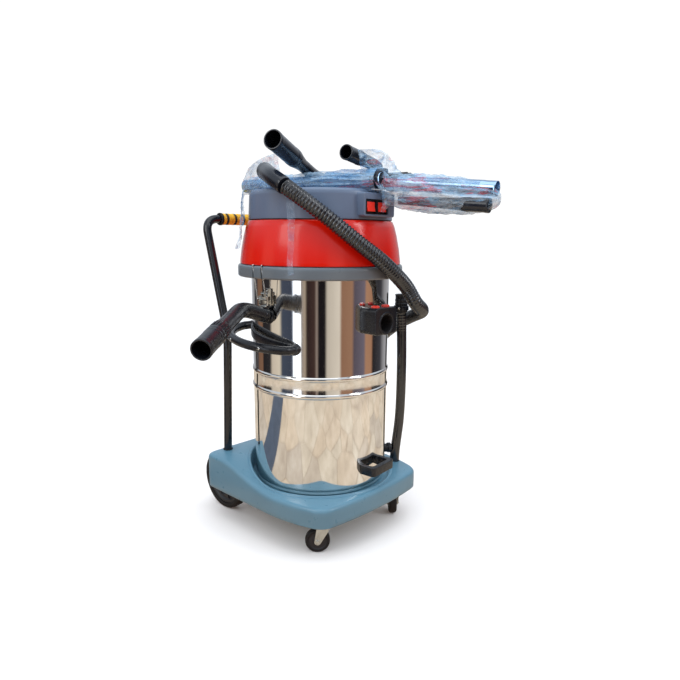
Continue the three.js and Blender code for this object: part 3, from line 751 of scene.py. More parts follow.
def make_deck():
    """The moulded deck with its wheel slots, axle slot and hose hole, and the casters' bosses."""
    outline = deck_outline()
    rings = deck_rings(outline)
    verts = [p for ring in rings for p in ring]
    faces = grid_faces(len(rings), len(outline)) + end_faces(len(rings), len(outline))
    deck = mesh_object("deck", verts, faces, "deck", 35)
    deck.data.transform(Matrix.Translation(AXIS))
    cutters = [cutting_box((52, 150, 150), (side * WHEEL_X, 252, 122)) for _, side in SIDES]
    cutters.append(cutting_box((290, 50, 60), (0, 268, AXLE_Z)))
    cutters.append(round_cutter(16.5, 60, 260, 40, placed((*DRAIN_FOOT, 0))))
    carve(deck, *cutters, sharp=35)
    bosses = [
        extrude(f"boss_{word}", rounded_box((56, 56), 8), 112, 145, "deck", 1.5,
                placed((side * CASTER_X, CASTER_Y, 0)))
        for word, side in SIDES
    ]
    keep(joined("deck", deck, *bosses), "machine", "deck", "trolley_deck")


def cutting_box(size, centre):
    return extrude("cutter", rounded_box(size, 4), -size[2] / 2, size[2] / 2, "dark", 0, placed(centre))


def make_axle():
    """The bracket under the deck, with a bridge and two legs, and the axle's shaft."""
    parts = [extrude("bridge", rounded_box((278, 22), 3), 192, 196, "zinc", 0.8, placed((0, 234, 0)))]
    leg = fillet([(-17, 198), (17, 198), (17, 120), (44, 108), (44, 74), (-16, 74), (-17, 120)], 8)
    for _, side in SIDES:
        place = Matrix.Translation(at(side * 136, 228, 0)) @ FACE_SIDE
        parts.append(extrude("leg", leg, -3, 3, "zinc", 0.8, place))
    keep(joined("axle_bracket_plate", *parts), "machine", "zinc", "axle_bracket")
    shaft = mirrored([(0.01, -191), (7.2, -191), (8, -189.5)])
    axle = lathe("rear_axle_shaft", shaft, "zinc", 40, 0.5, placed((0, AXLE_Y, AXLE_Z), 90, "Y"))
    keep(axle, "machine", "zinc", "rear_axle")


SPOKES = 5
SPOKE_TURN = 360 / SPOKES
SPOKE_START = 18


def make_wheel(word, side):
    """A ribbed tyre, a hub with round holes and ribs between them, and an end cap."""
    place = placed((side * WHEEL_X, AXLE_Y, AXLE_Z), 90 * side, "Y")
    body = f"wheel_{word}"
    half_tyre = [
        (78.3, -17), (86, -18.5), (92.5, -17), (94.6, -13), (95, -8.5), (93.4, -8), (93.4, -6.4),
        (95, -6), (95, -0.8), (93.4, -0.4),
    ]
    tyre = lathe(f"tyre_{word}", mirrored(half_tyre), "rubber", 128, 0.8, place)
    keep(tyre, body, "tyre", f"wheel_tyre_{word}")
    half_hub = [(8.3, -15), (26, -15), (30, -9), (66, -9), (70, -14.5), (78, -15)]
    hub = lathe(f"hub_{word}", mirrored(half_hub), "wheel", 120, 2, Matrix())
    holes = []
    for i in range(SPOKES):
        a = math.radians(SPOKE_TURN * i + SPOKE_START)
        holes.append(round_cutter(15.5, -30, 30, 32,
                                  Matrix.Translation((0.046 * math.cos(a), 0.046 * math.sin(a), 0))))
    carve(hub, *holes)
    ribs = []
    for i in range(SPOKES):
        rib = extrude("rib", rounded_box((34, 4), 1), -13.5, 13.5, "wheel", 0.8, Matrix())
        rib.data.transform(Matrix.Rotation(math.radians(SPOKE_TURN * i - SPOKE_START), 4, "Z")
                           @ Matrix.Translation((0.048, 0, 0)))
        ribs.append(rib)
    hub = joined(f"hub_{word}", hub, *ribs)
    hub.data.transform(place)
    keep(hub, body, "black_plastic", f"wheel_hub_{word}")
    cap = lathe(f"hub_cap_{word}", [(0.01, 14.6), (18, 14.6), (18, 17), (14, 20.5), (0.01, 22)],
                "wheel", 48, 1.2, place)
    keep(cap, body, "black_plastic")


def make_caster(word, side):
    make_caster_plate(word, (side * CASTER_X, CASTER_Y))
    place = placed((side * CASTER_X, CASTER_Y, 0), 135 if side < 0 else 45)
    make_caster_fork(word, place)
    make_caster_roller(word, place)


def make_caster_plate(word, pin):
    parts = [
        extrude("plate", rounded_box((54, 54), 5), 108.5, 111.5, "zinc", 0.6, placed((*pin, 0))),
        lathe("race", [(0.01, 101), (15, 101), (17, 103), (17, 110), (0.01, 110)], "zinc", 40, 1,
              placed((*pin, 0))),
    ]
    parts += [hex_bolt((pin[0] + x, pin[1] + y, 105.4), 4.6, 3.1) for x in (-19, 19) for y in (-19, 19)]
    keep(joined(f"caster_mount_{word}", *parts), "machine", "zinc", f"caster_plate_{word}")


def make_caster_fork(word, place):
    """Crown, two cheeks with a pressed rib each, and the nuts of the roller's bolt."""
    crown = [(0.01, 94.7), (19, 94.7), (20, 96.5), (20, 99.5), (17.5, 100.7), (0.01, 100.7)]
    cheek = fillet([(-19, 98), (19, 98), (29, 36, 9), (24, 25, 9), (14, 26, 9), (-13, 72, 14)], 4, 5)
    rib = [(-14, 92), (10, 92), (22, 40), (18, 38), (6, 84), (-12, 84)]
    parts = [lathe("crown", crown, "zinc", 48, 1, place)]
    for side in (-1, 1):
        for name, outline, half, rounding, y in (
            ("cheek", cheek, 1.3, 0.7, 16), ("rib", rib, 0.8, 0.5, 17.5),
        ):
            stand = Matrix.Translation((0, side * y / 1000, 0)) @ FACE_FRONT
            parts.append(extrude(name, outline, -half, half, "zinc", rounding, place @ stand))
        nut = hex_bolt((0, 0, 0), 6.5, 3.6)
        nut.data.transform(Matrix.Translation(-AXIS))
        turn = Matrix.Rotation(math.radians(-90 * side), 4, "X")
        nut.data.transform(place @ Matrix.Translation((CASTER_TRAIL, side * 0.0172, ROLLER_Z)) @ turn)
        parts.append(nut)
    keep(joined(f"caster_fork_frame_{word}", *parts), f"caster_{word}", "zinc", f"caster_fork_{word}")


def make_caster_roller(word, place):
    roll = place @ Matrix.Translation((CASTER_TRAIL, 0, ROLLER_Z)) @ Matrix.Rotation(math.radians(90), 4, "X")
    half_tread = [(26, -11), (31, -11.5), (34.3, -9), (35, -5)]
    half_core = [(4.3, -12), (10, -12.5), (12, -8), (23, -7), (26.5, -9.5)]
    tread = lathe("tread", mirrored(half_tread), "rubber", 64, 1.2, roll)
    core = lathe("core", mirrored(half_core), "wheel", 64, 0.8, roll)
    name = f"caster_roller_{word}"
    keep(joined(name, tread, core), name, "tyre", f"caster_wheel_{word}")


def hex_bolt(point, radius, height):
    """A bolt head with a domed washer, standing along +Z from a point."""
    outline = [(radius * math.cos(math.radians(60 * k)), radius * math.sin(math.radians(60 * k)))
               for k in range(6)]
    head = extrude("head", outline, 0.8, height, "zinc", 0.4, placed(point))
    rim = radius * 1.35
    washer = lathe("washer", [(0.01, 0), (rim, 0), (rim, 0.6), (radius, 1.1), (0.01, 1.1)], "zinc", 32,
                   0.2, placed(point))
    return joined("bolt", head, washer)


HANDLE_X = 180
HANDLE_FOOT, HANDLE_BEND, HANDLE_TOP = (235, 206.2), (216, 578), (309, 915)
HANDLE_TUBE_R = 0.0125
GRIP_HALF = 122


def make_push_handle():
    """A bent bar from one side of the deck to the other, with a rubber grommet at each foot."""
    half = [(HANDLE_X, *place) for place in (HANDLE_FOOT, HANDLE_BEND, HANDLE_TOP)]
    route = [at(-x, y, z) for x, y, z in half] + [at(*p) for p in reversed(half)]
    stations = [(p, HANDLE_TUBE_R) for p in bent(route, 0.045, 0.006)]
    parts = [tube("push_handle_bar", stations, "enamel", 40)]
    for _, side in SIDES:
        grommet = [(12.8, 205.4), (15.2, 205.4), (14.8, 207.6), (12.8, 208.2)]
        parts.append(lathe("grommet", grommet, "rubber", 48, 0.6,
                           placed((side * HANDLE_X, HANDLE_FOOT[0], 0))))
    keep(joined("push_handle_bar", *parts), "machine", "black_tube", "push_handle")
    make_grip()


def make_grip():
    """A foam sleeve with an uneven surface, and a rubber ring at each end."""
    steps = 62
    profile = [(12.8, -GRIP_HALF)]
    for i in range(steps + 1):
        swell = 0.35 * math.sin(i * 1.3) + 0.12 * math.sin(i * 2.9)
        profile.append((17.0 + swell, -GRIP_HALF + 2 * GRIP_HALF * i / steps, 0))
    profile.append((12.8, GRIP_HALF))
    foam = lathe("grip_foam", profile, "foam", 64, 0.8, placed((0, *HANDLE_TOP), 90, "Y"))
    keep(foam, "machine", "grip", "handle_grip")
    ring = [(12.8, 121.6), (18.2, 121.6), (18.6, 123), (18.6, 128), (17.4, 129.5), (12.8, 129.5)]
    for word, side in SIDES:
        place = placed((0, *HANDLE_TOP), 90 * side, "Y")
        end = lathe(f"grip_ring_{word}", ring, "rubber", 48, 0.8, place)
        keep(end, "machine", "black_plastic")


# ---------- tank ----------
TANK_R = 200
BEADS = (439, 487)


def make_tank():
    """The drum: its floor, two beads, a rolled rim and the inside of its wall."""
    outside = [(0.01, 150), (186, 150), (196, 152.5), (TANK_R, 163)]
    for z in BEADS:
        outside += [(TANK_R, z - 7, 0.6), (201.3, z - 5.6), (203, z - 3), (203.4, z), (203, z + 3),
                    (201.3, z + 5.6), (TANK_R, z + 7, 0.6)]
    outside += [(TANK_R, 755), (202.5, 757), (203, 760), (202.5, 764), (198, 764), (198, 163),
                (186, 152), (0.01, 152)]
    keep(lathe("drum", outside, "steel", 224, 2.5), "machine", "steel", "tank")


def facing_front(x=0, y=0, z=0):
    """Stands an outline upright, its extrusion pointing to the front."""
    return Matrix.Translation(at(x, y, z)) @ FACE_FRONT


def tank_cutter(low, high):
    return round_cutter(TANK_R + 0.6, low, high, 224)


INLET_Z = 640
BUTTON_X, BUTTON_Y = 21, -228


def make_inlet():
    """The block with the hose's opening, its collar and sleeve, and the two release buttons."""
    block = extrude("block", fillet([(-45, 610), (45, 610), (45, 682), (-45, 682)], 13, 6), 150, 250,
                    "black", 2.2, facing_front())
    bore = round_cutter(25, 100, 300, 64, facing_front(z=INLET_Z))
    pockets = [round_cutter(12.4, 672, 700, 40, placed((side * BUTTON_X, BUTTON_Y, 0))) for _, side in SIDES]
    carve(block, tank_cutter(560, 740), bore, *pockets)
    collar = lathe("collar", [(25, 244), (31.5, 244), (31.5, 250.5), (29.5, 252.6), (26.5, 252.6), (25, 251)],
                   "black", 72, 0.8, facing_front(z=INLET_Z))
    sleeve = lathe("sleeve", [(24.9, 206), (25.1, 206), (25.1, 250), (23.4, 250), (23.4, 206)],
                   "rubber", 64, 0, facing_front(z=INLET_Z))
    keep(joined("inlet_housing", block, collar, sleeve), "machine", "black_plastic", "inlet_block")
    for word, side in SIDES:
        cap = lathe(f"release_button_{word}", [
            (0.01, 677), (11.6, 677), (11.6, 684), (10.6, 686.6), (7, 687.6), (0.01, 687.4)],
            "button", 48, 1.2, placed((side * BUTTON_X, BUTTON_Y, 0)))
        keep(cap, f"button_{word}", "red_button", f"inlet_button_{word}")


def bent_plate(name, inner, outer, start, end, low, high, material, steps=32):
    """A plate curved round the tank's axis between two angles, with rounded edges."""
    verts = []
    for k in range(steps + 1):
        a = math.radians(start + (end - start) * k / steps)
        for radius, z in ((inner, low), (outer, low), (outer, high), (inner, high)):
            verts.append(at(radius * math.cos(a), radius * math.sin(a), z))
    faces = end_faces(steps + 1, 4) + grid_faces(steps + 1, 4)
    return bevel(mesh_object(name, verts, faces, material), min(outer - inner, 3) * 0.4)


TIPPING_TURN = 5
TIPPING_LOW, TIPPING_HIGH = 203, 229


def make_tipping_handle():
    """A flat loop low at the front of the drum, turned a little to the side."""
    place = placed((0, 0, 0), TIPPING_TURN) @ Matrix.Translation((0, -0.185, 0))
    loop = extrude("loop", rounded_box((104, 110), 12, 6), TIPPING_LOW, TIPPING_HIGH, "black", 0, place)
    hole = extrude("hole", rounded_box((76, 82), 9, 6), TIPPING_LOW - 8, TIPPING_HIGH + 11, "black", 0,
                   place)
    carve(loop, hole, tank_cutter(170, 270))
    bevel(loop, 4, 4, 50)
    keep(loop, "machine", "black_plastic", "tipping_handle")


def screw(point, outward, radius=4.5):
    """A pan-head screw whose axis points outward."""
    head = lathe("screw", [(0.01, 0), (radius, 0), (radius, 0.8), (radius * 0.8, 2.1), (0.01, 2.8)],
                 "zinc", 32, 0.5, Matrix())
    for turn in (0, 90):
        slot = extrude("slot", rounded_box((radius * 1.3, 1.1), 0.2), 1.4, 4, "dark", 0,
                       Matrix.Rotation(math.radians(turn), 4, "Z"))
        carve(head, slot)
    turn = Vector((0, 0, 1)).rotation_difference(outward).to_matrix().to_4x4()
    head.data.transform(Matrix.Translation(point) @ turn)
    return head


SIDE_GRIP_BACK, SIDE_GRIP_TURN = 25, 80
SIDE_GRIP_Z, SIDE_GRIP_RISE = 570, 34


def make_side_handle(word, side):
    """A grip that climbs round the drum, with a foot at each end, two screws and a strip under it."""
    def spot(t, reach):
        angle = math.radians(SIDE_GRIP_BACK - SIDE_GRIP_TURN * t)
        z = SIDE_GRIP_Z + SIDE_GRIP_RISE * t
        return at(side * reach * math.cos(angle), -reach * math.sin(angle), z)

    def grip_reach(t):
        return 208 + 62 * math.sin(math.pi * t) ** 0.5

    path = flow([spot(i / 24, grip_reach(i / 24)) for i in range(25)], 0.004)
    parts = [tube("grip", [(p, 0.0122) for p in path], "black", 32)]
    for t in (0, 1):
        foot = [(spot(t, reach), radius) for reach, radius in
                ((199.5, 0.0165), (206, 0.0162), (209, 0.0135), (214, 0.0125))]
        parts.append(tube("foot", foot, "black", 32))
    for t in (0.22, 0.52):
        outward = spot(t, grip_reach(t) + 1) - spot(t, grip_reach(t))
        parts.append(screw(spot(t, grip_reach(t) + 11), outward.normalized(), 4.6))
    middle = 0 if side > 0 else 180
    ends = middle - side * SIDE_GRIP_BACK, middle + side * (SIDE_GRIP_TURN - SIDE_GRIP_BACK)
    strip = bent_plate("strip", 200.8, 205, *ends, SIDE_GRIP_Z - 12, SIDE_GRIP_Z + 12, "black")
    for vertex in strip.data.vertices:
        local = vertex.co - AXIS
        angle = math.degrees(math.atan2(-local.y, side * local.x))
        vertex.co.z += SIDE_GRIP_RISE / 1000 * (SIDE_GRIP_BACK - angle) / SIDE_GRIP_TURN
    parts.append(strip)
    keep(joined(f"side_grip_{word}", *parts), "machine", "black_plastic", f"side_handle_{word}")


LATCH_PIN = (211, 715)


def make_latch(word, side):
    """Base plate, lever and wire bail; drawn at the right side and turned round for the left."""
    flip = placed((0, 0, 0), 0 if side > 0 else 180)

    def point(x, y, z):
        return flip @ (Vector((x, y, z)) / 1000)

    def box(name, size, centre, rounding=0.6):
        place = flip @ Matrix.Translation(Vector(centre) / 1000)
        return extrude(name, rounded_box(size, min(size[:2]) * 0.2), -size[2] / 2, size[2] / 2, "zinc",
                       rounding, place)

    def pin(half, radius):
        x, z = LATCH_PIN
        return tube("pin", [(point(x, y, z), radius / 1000) for y in (-half, half)], "zinc", 20)

    base = [box("plate", (3, 30, 42), (203.2, 0, 708)), box("ear", (8, 3, 11), (209, 13.2, 714)),
            box("ear", (8, 3, 11), (209, -13.2, 714)), pin(16.2, 2.2)]
    outward = (flip @ Vector((1, 0, 0)) - flip.translation).normalized()
    base += [screw(point(204.6, 0, z), outward, 3.4) for z in (694, 722)]
    keep(joined(f"latch_plate_{word}", *base), "machine", "zinc", f"latch_base_{word}")
    face = fillet([(-17, 710), (17, 710), (17, 690, 12), (11, 681, 8), (-11, 681, 8), (-17, 690, 12)], 4, 5)
    lever = [extrude("face", face, 215.2, 217.2, "zinc", 0.7, flip @ FACE_SIDE),
             box("lip", (5, 26, 2.2), (218.6, 0, 682.4), 0.9), box("hook", (7.5, 17, 4), (213.5, 0, 713)),
             box("neck", (2.4, 17, 9), (216.4, 0, 711)), pin(12.2, 2.4)]
    lever += [box("lug", (7, 4, 8), (220.6, y, 701)) for y in (-11, 11)]
    lever += [box("edge", (4.4, 1.6, 24), (217.2, y, 697)) for y in (-16.2, 16.2)]
    keep(joined(f"latch_arm_{word}", *lever), f"latch_{word}", "zinc", f"latch_lever_{word}")
    half_wire = [(231, -17.5, 792), (236, -17.5, 792), (222.5, -17.5, 701)]
    wire = half_wire + [(x, -y, z) for x, y, z in reversed(half_wire)]
    path = bent([point(*p) for p in wire], 0.003, 0.0015)
    bail = tube(f"latch_bail_{word}", [(p, 0.0016) for p in path], "zinc", 12)
    keep(bail, f"wire_{word}", "zinc", f"latch_wire_{word}")


# ---------- drain ----------
DRAIN_RUN = [
    (213, -128, 128), (214, -128, 180), (226, -133, 300), (228, -134, 450), (225, -132, 580),
    (222, -130, 639),
]
DRAIN_R, DRAIN_RIB_R = 0.0150, 0.0158
DRAIN_RIBS_FROM = 0.585
DRAIN_CUFF = (222, -130)
CLIP_Z = 653
CLIP_BEARING = -30.4
LUG_BEARING = 200


def round_axis(bearing, reach, z, centre=(0, 0)):
    """A point given by its bearing and distance from an upright axis."""
    a = math.radians(bearing)
    return at(centre[0] + reach * math.cos(a), centre[1] + reach * math.sin(a), z)


def make_drain():
    """The drain hose from the deck up to its cuff, with the clip and the outlet low at the side."""
    path = flow([at(*p) for p in DRAIN_RUN], 0.0022)
    stations = []
    for i, p in enumerate(path):
        ribbed = p.z > DRAIN_RIBS_FROM
        stations.append((p, DRAIN_RIB_R if ribbed and i % 4 < 2 else DRAIN_R))
    hose = tube("drain_tube", stations, "hose", 36, sharp=60)
    cuff = lathe("drain_cuff", [
        (0.01, 640), (17.5, 640), (19, 642), (19, 645, 0), (19, 661.5, 0), (19.8, 663), (19.8, 668),
        (18.8, 669), (18.8, 673), (19.8, 674), (19.8, 679), (18.8, 680), (18.8, 690), (20, 692), (20, 695),
        (14, 695), (14, 660), (0.01, 660)], "black", 64, 0.7, placed((*DRAIN_CUFF, 0)))
    keep(cuff, "machine", "black_plastic", "drain_hose_cuff")
    keep(hose, "machine", "hose", "drain_hose")
    tuple(path[0])
    round(run_length(path), 3)
    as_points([tuple(p) for p in path[::12]] + [tuple(path[-1])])
    make_drain_clip()
    make_drain_stub()


def make_drain_clip():
    """A collar round the cuff, held to the drum by an arm, with a screw."""
    collar = lathe("collar", [(19.4, 646), (23, 646), (23, 660), (19.4, 660)], "black", 48, 1,
                   placed((*DRAIN_CUFF, 0)))
    arm = tube("arm", [(round_axis(CLIP_BEARING, reach, CLIP_Z), radius) for reach, radius in
                       ((199.5, 0.011), (203, 0.011), (205, 0.006), (232, 0.006))], "black", 24)
    a = math.radians(LUG_BEARING)
    lug = screw(round_axis(LUG_BEARING, 22.6, CLIP_Z, DRAIN_CUFF), Vector((math.cos(a), math.sin(a), 0)), 3.5)
    keep(joined("drain_clip", collar, arm, lug), "machine", "black_plastic", "drain_hose_hook")


def make_drain_stub():
    """The barbed outlet low at the side of the drum."""
    profile = [(0.01, 199.6), (18, 199.6), (18, 203), (12, 204.5)]
    for r in range(207, 223, 4):
        profile += [(12, r, 0.3), (13.4, r + 1, 0.3), (13.4, r + 2.6, 0.3), (12, r + 3.4, 0.3)]
    profile += [(12, 224), (16, 224), (16, 234), (11, 234), (11, 230), (0.01, 230)]
    turn = placed((0, 0, 200), -30) @ Matrix.Rotation(math.radians(90), 4, "Y")
    stub = lathe("drain_stub", profile, "black", 64, 0.8, turn)
    keep(stub, "machine", "black_plastic", "drain_outlet")


# ---------- hand tube ----------
TUBE_ROOT, TUBE_BEND, TUBE_MOUTH = at(-203, 0, 654.4), at(-290, 0, 682), at(-533, -174, 629)
TUBE_RIBS = 20


def make_hand_tube():
    """A bent tube in steps of growing width, with lengthwise ribs before its widest part."""
    path = bent([TUBE_ROOT.lerp(TUBE_BEND, 0.1), TUBE_BEND, TUBE_MOUTH], 0.034, 0.002)
    total = run_length(path)
    stretch = (TUBE_MOUTH - TUBE_BEND).length

    def outer(_, distance):
        u = 1 - (total - distance) / stretch
        if u < 0.40:
            return 0.0200 + (0.0008 if distance < 0.012 else 0)
        if u < 0.56:
            return 0.0200 + 0.0022 * (u - 0.40) / 0.16
        if u < 0.665:
            return 0.0226
        if u < 0.675:
            return 0.0214
        ridge = 0.0006 if 0.70 < u < 0.725 or 0.745 < u < 0.77 or u > 0.955 else 0.0
        return 0.0243 + ridge

    body = hollow("body", path, outer, 0.0205, "black", 0.09, 64)
    ribs = []
    axis = (TUBE_MOUTH - TUBE_BEND).normalized()
    side = axis.cross(Vector((0, 0, 1))).normalized()
    other = axis.cross(side)
    for k in range(TUBE_RIBS):
        a = 2 * math.pi * k / TUBE_RIBS
        out = side * math.cos(a) + other * math.sin(a)
        points = [TUBE_BEND.lerp(TUBE_MOUTH, u) + out * r for u, r in
                  ((0.545, 0.0216), (0.555, 0.0228), (0.652, 0.0234), (0.662, 0.0224))]
        ribs.append(tube("rib", [(p, 0.0019) for p in points], "black", 8))
    keep(joined("hand_tube_body", body, *ribs), "hand_tube", "black_plastic", "hand_tube")
    make_tube_peg()


def make_tube_peg():
    """The peg on the drum that the hand tube is pushed over, with its flange."""
    peg = tube("peg", [(TUBE_ROOT.lerp(TUBE_BEND, t), r) for t, r in
                       ((-0.04, 0.0154), (0.5, 0.0154), (0.52, 0.0140))], "black", 40)
    flange = lathe("flange", [(0.01, 199.8), (21, 199.8), (21, 202), (17, 204.2), (0.01, 204.2)],
                   "black", 56, 0.9,
                   placed((0, 0, 653.4), 180) @ Matrix.Rotation(math.radians(90), 4, "Y"))
    keep(joined("hand_tube_socket", peg, flange), "machine", "black_plastic", "hand_tube_peg")


# ---------- head ----------
def make_head():
    """Clamp ring, motor cover and top cover, with a near-black ring of painted shade in the seam under each
    cover.
    """
    ring = lathe("clamp_ring", [
        (205, 755.5), (234, 755.5, 3), (237, 758.5, 3), (237, 780, 2), (236, 786, 3), (233, 789, 3),
        (185.3, 789), (185.3, 776), (175, 776), (175, 770), (205, 770)], "grey", 192, 1)
    grooves = [cutting_box((30, 6, 60), (side * 237, y, 772)) for _, side in SIDES for y in (-17.5, 17.5)]
    carve(ring, *grooves)
    keep(ring, "head", "grey_shell", "head_ring")
    # A near-black ring in the seam: painted shade between the clamp ring and the red cover.
    seam = [(200, 788.6), (228.6, 788.6), (228.6, 791), (200, 791)]
    keep(lathe("cover_seam_shade", seam, "dark", 128, 0.2), "head", "black_plastic")
    cover = lathe("red_cover", [
        (226, 790.6), (230, 790.6), (230.4, 793), (230, 799), (226, 830, 0), (218.5, 868, 0), (211.5, 894),
        (206, 906), (203.5, 908.2), (198, 908.4), (198, 903), (207, 892), (214.5, 866, 0), (222, 828, 0),
        (226, 797)], "red", 192, 4)
    keep(cover, "head", "red_shell", "motor_cover")
    # A near-black ring in the gap: painted shade between the red cover and the top cover.
    gap = [(188, 907), (201.5, 907), (201.5, 912), (188, 912)]
    keep(lathe("cap_seam_shade", gap, "dark", 128, 0.2), "head", "black_plastic")
    cap = lathe("tray_cover", [
        (200, 910.8), (204, 910.8), (204.2, 913), (203.4, 930, 0), (200.8, 975), (198.4, 983), (192, 988),
        (180, 988), (174, 981), (169, 978), (0.01, 978), (0.01, 973), (196, 973)], "cap", 192, 3)
    keep(cap, "head", "grey_shell", "top_cover")
    make_switches()


PANEL_Z = 942
ROCKER_TILT = -8


def make_switches():
    """The raised panel with a sunken bezel, its rails and two rocker keys."""
    panel = extrude("frame", fillet([(-60, 917.5), (64, 917.5), (64, 977.5), (-60, 977.5)], 6, 5), 150, 217,
                    "cap", 2.2, facing_front())
    opening = fillet([(-54, 923), (38, 923), (38, 961), (-54, 961)], 3, 3)
    inset = extrude("inset", opening, 208.7, 230, "cap", 0, facing_front())
    shell = lathe("cutter", [(0.01, 905), (204.3, 905), (200.2, 990), (0.01, 990)], "cap", 192, 0)
    carve(panel, inset, shell)
    bezel = extrude("bezel", opening, 206.5, 209.4, "black", 0.5, facing_front())
    rails = [extrude("rail", rounded_box((2.2, 34), 0.6), 209, 215.6, "black", 0.6,
                     facing_front(x, 0, PANEL_Z)) for x in (-49, -11, -5, 33)]
    keep(joined("switch_frame", panel, bezel, *rails), "head", "grey_shell", "switch_panel")
    half = [(-2.2, -12), (2.6, -12), (1.2, 0), (2.9, 12), (-2.2, 12)]
    turn = Matrix(((0, 0, 1, 0), (-1, 0, 0, 0), (0, 1, 0, 0), (0, 0, 0, 1)))
    for word, x in (("left", -30), ("right", 14)):
        place = placed((x, -212.8, PANEL_Z), ROCKER_TILT, "X") @ turn
        key = extrude(f"rocker_{word}_key", half, -15, 15, "button", 0.9, place)
        keep(key, f"rocker_{word}", "red_button", f"switch_rocker_{word}")


BAG_LOW, BAG_HIGH = 560, 744
BAG_PROFILE = ((560, 0.5), (565, 100), (592, 127), (620, 150), (660, 168), (700, 182), (744, 190))
PLEATS = 20


def make_filter_bag():
    """A pleated cloth bag that hangs in the tank, and shows only when the head is lifted off."""
    steps, levels = 180, 40
    verts = []
    for j in range(levels + 1):
        z = BAG_LOW + (BAG_HIGH - BAG_LOW) * j / levels
        radius = profile_at(BAG_PROFILE, z)
        depth = 0.018 * min(1, j / 8, (levels - j) / 4)
        for k in range(steps):
            a = 2 * math.pi * k / steps
            fold = 1 + depth * math.sin(PLEATS * a)
            verts.append(at(radius * fold * math.cos(a), radius * fold * math.sin(a), z))
    faces = grid_faces(levels + 1, steps) + end_faces(levels + 1, steps)[:1]
    bag = mesh_object("bag", verts, faces, "cloth", 60)
    shell = bag.modifiers.new("wall", "SOLIDIFY")
    shell.thickness = 0.002
    bake_modifiers(bag, 60)
    band = lathe("band", [(188, 742), (197.4, 744), (197.4, 763.5), (190, 763.5)], "rubber", 128, 1.5)
    keep(joined("filter_cloth", bag, band), "machine", "cloth", "filter_bag")


def profile_at(pairs, z):
    """The radius between (height, radius) pairs."""
    for (z0, r0), (z1, r1) in zip(pairs, pairs[1:]):
        if z <= z1:
            return r0 + (r1 - r0) * (z - z0) / (z1 - z0)
    return pairs[-1][1]


def finish_inner_parts():
    """Finishes for the working parts in the head, which keep their own shapes."""
    for name, finish in (("head_seal", "rubber"), ("motor_plate", "black"), ("motor_left", "cast"),
                         ("motor_right", "cast"), ("float_cage", "black"), ("float_ball", "button")):
        nodes[name].data.materials.clear()
        nodes[name].data.materials.append(MAT[finish])


# ---------- wands and tools ----------
WAND_1 = (at(-69, 250, 1011), at(-1, -225, 1011))
WAND_2 = (at(13, -13, 1024), at(83, -508, 980))
CREVICE = (at(25, -262, 958), at(66, -500, 941))


def make_wand(name, ends, node, low, high):
    """A chrome wand with a wider rear end, a narrower front end and a black collar from low to high."""
    a, b = ends

    def outer(share, _):
        if share < 0.09:
            return 0.0190
        return 0.0186 if share < 0.94 else 0.0180

    pipe = hollow(name, straight(a, b, 90), outer, 0.0170, "chrome", 0.08, 48)
    # A near-black disc on the rear end: painted shade inside the open bore.
    mouth = tube("mouth", [(a.lerp(b, t), 0.0168) for t in (-0.0005, 0.004)], "dark", 40)
    steps = ((low, 0.0186), (low + 0.001, 0.0212), (low + 0.012, 0.0218), (high - 0.012, 0.0218),
             (high - 0.001, 0.0208), (high, 0.0186))
    collar = tube("collar", [(a.lerp(b, t), r) for t, r in steps], "tool", 48)
    keep(joined(f"{name}_tube", pipe, mouth, collar), "head", "chrome_tube", node)


def make_crevice():
    tip, socket = CREVICE

    def outer(share, _):
        if share < 0.70:
            return 0.0092 + 0.0058 * share / 0.70
        if share < 0.72:
            return 0.0150 + 0.0020 * (share - 0.70) / 0.02
        return 0.0170 + (0.0006 if 0.76 < share < 0.79 or share > 0.95 else 0)

    depth = (socket - tip).length * 0.26
    body = hollow("crevice_body", straight(tip, socket, 60), outer, 0.0140, "tool", depth, 40)
    side = (socket - tip).normalized().cross(Vector((0, 0, 1))).normalized()
    ridges = []
    for sign in (-1, 1):
        line = [tip.lerp(socket, t) + side * sign * (0.0088 + 0.0058 * t / 0.7) for t in (0.03, 0.35, 0.68)]
        ridges.append(tube("ridge", [(p, 0.0012) for p in line], "tool", 8))
    keep(joined("crevice_nozzle", body, *ridges), "head", "black_plastic", "crevice_tool")


def make_floor_tool(word, size, centre, heading, route, radius, mouth_radius):
    place = placed(centre, heading)
    make_floor_bar(word, size, place)
    pivot = place @ Matrix.Translation((0, 0, (size[2] / 2 + 11) / 1000))
    make_floor_neck(word, route, pivot, radius / 1000, mouth_radius / 1000)


def make_floor_bar(word, size, place):
    """The bar with a rubber skirt under it, a raised rail, four ribs and the two lugs of the hinge."""
    length, width, height = size
    top = height / 2
    bar = extrude("bar", rounded_box((length, width), 15, 7), -top + 4, top, "tool", 6.5, place, 5)
    skirt = extrude("skirt", rounded_box((length - 5, width - 5), 13, 7), -top, -top + 8, "rubber", 0.8,
                    place)
    slot = extrude("slot", rounded_box((length - 40, 14), 5), -top - 5, -top + 6, "dark", 0, place)
    carve(skirt, slot)
    rail = extrude("rail", rounded_box((length - 46, width - 26), 8, 5), top - 2, top + 3.5, "tool", 2,
                   place)
    parts = [bar, skirt, rail]
    rib = rounded_box((length * 0.34, 3), 1)
    for y in (-1, 1):
        for x in (-1, 1):
            spot = Matrix.Translation((x * length * 0.00026, y * width * 0.00020, 0))
            parts.append(extrude("rib", rib, top + 1, top + 5, "tool", 0.8, place @ spot))
    lug = fillet([(-12, top - 2), (12, top - 2), (11, top + 14), (7, top + 19), (-7, top + 19),
                  (-11, top + 14)], 5, 4)
    for x in (-0.028, 0.028):
        stand = Matrix.Translation((x, 0, 0)) @ FACE_SIDE
        parts.append(extrude("lug", lug, -3, 3, "tool", 1, place @ stand))
    keep(joined(f"floor_bar_{word}", *parts), "head", "black_plastic", f"floor_tool_bar_{word}")


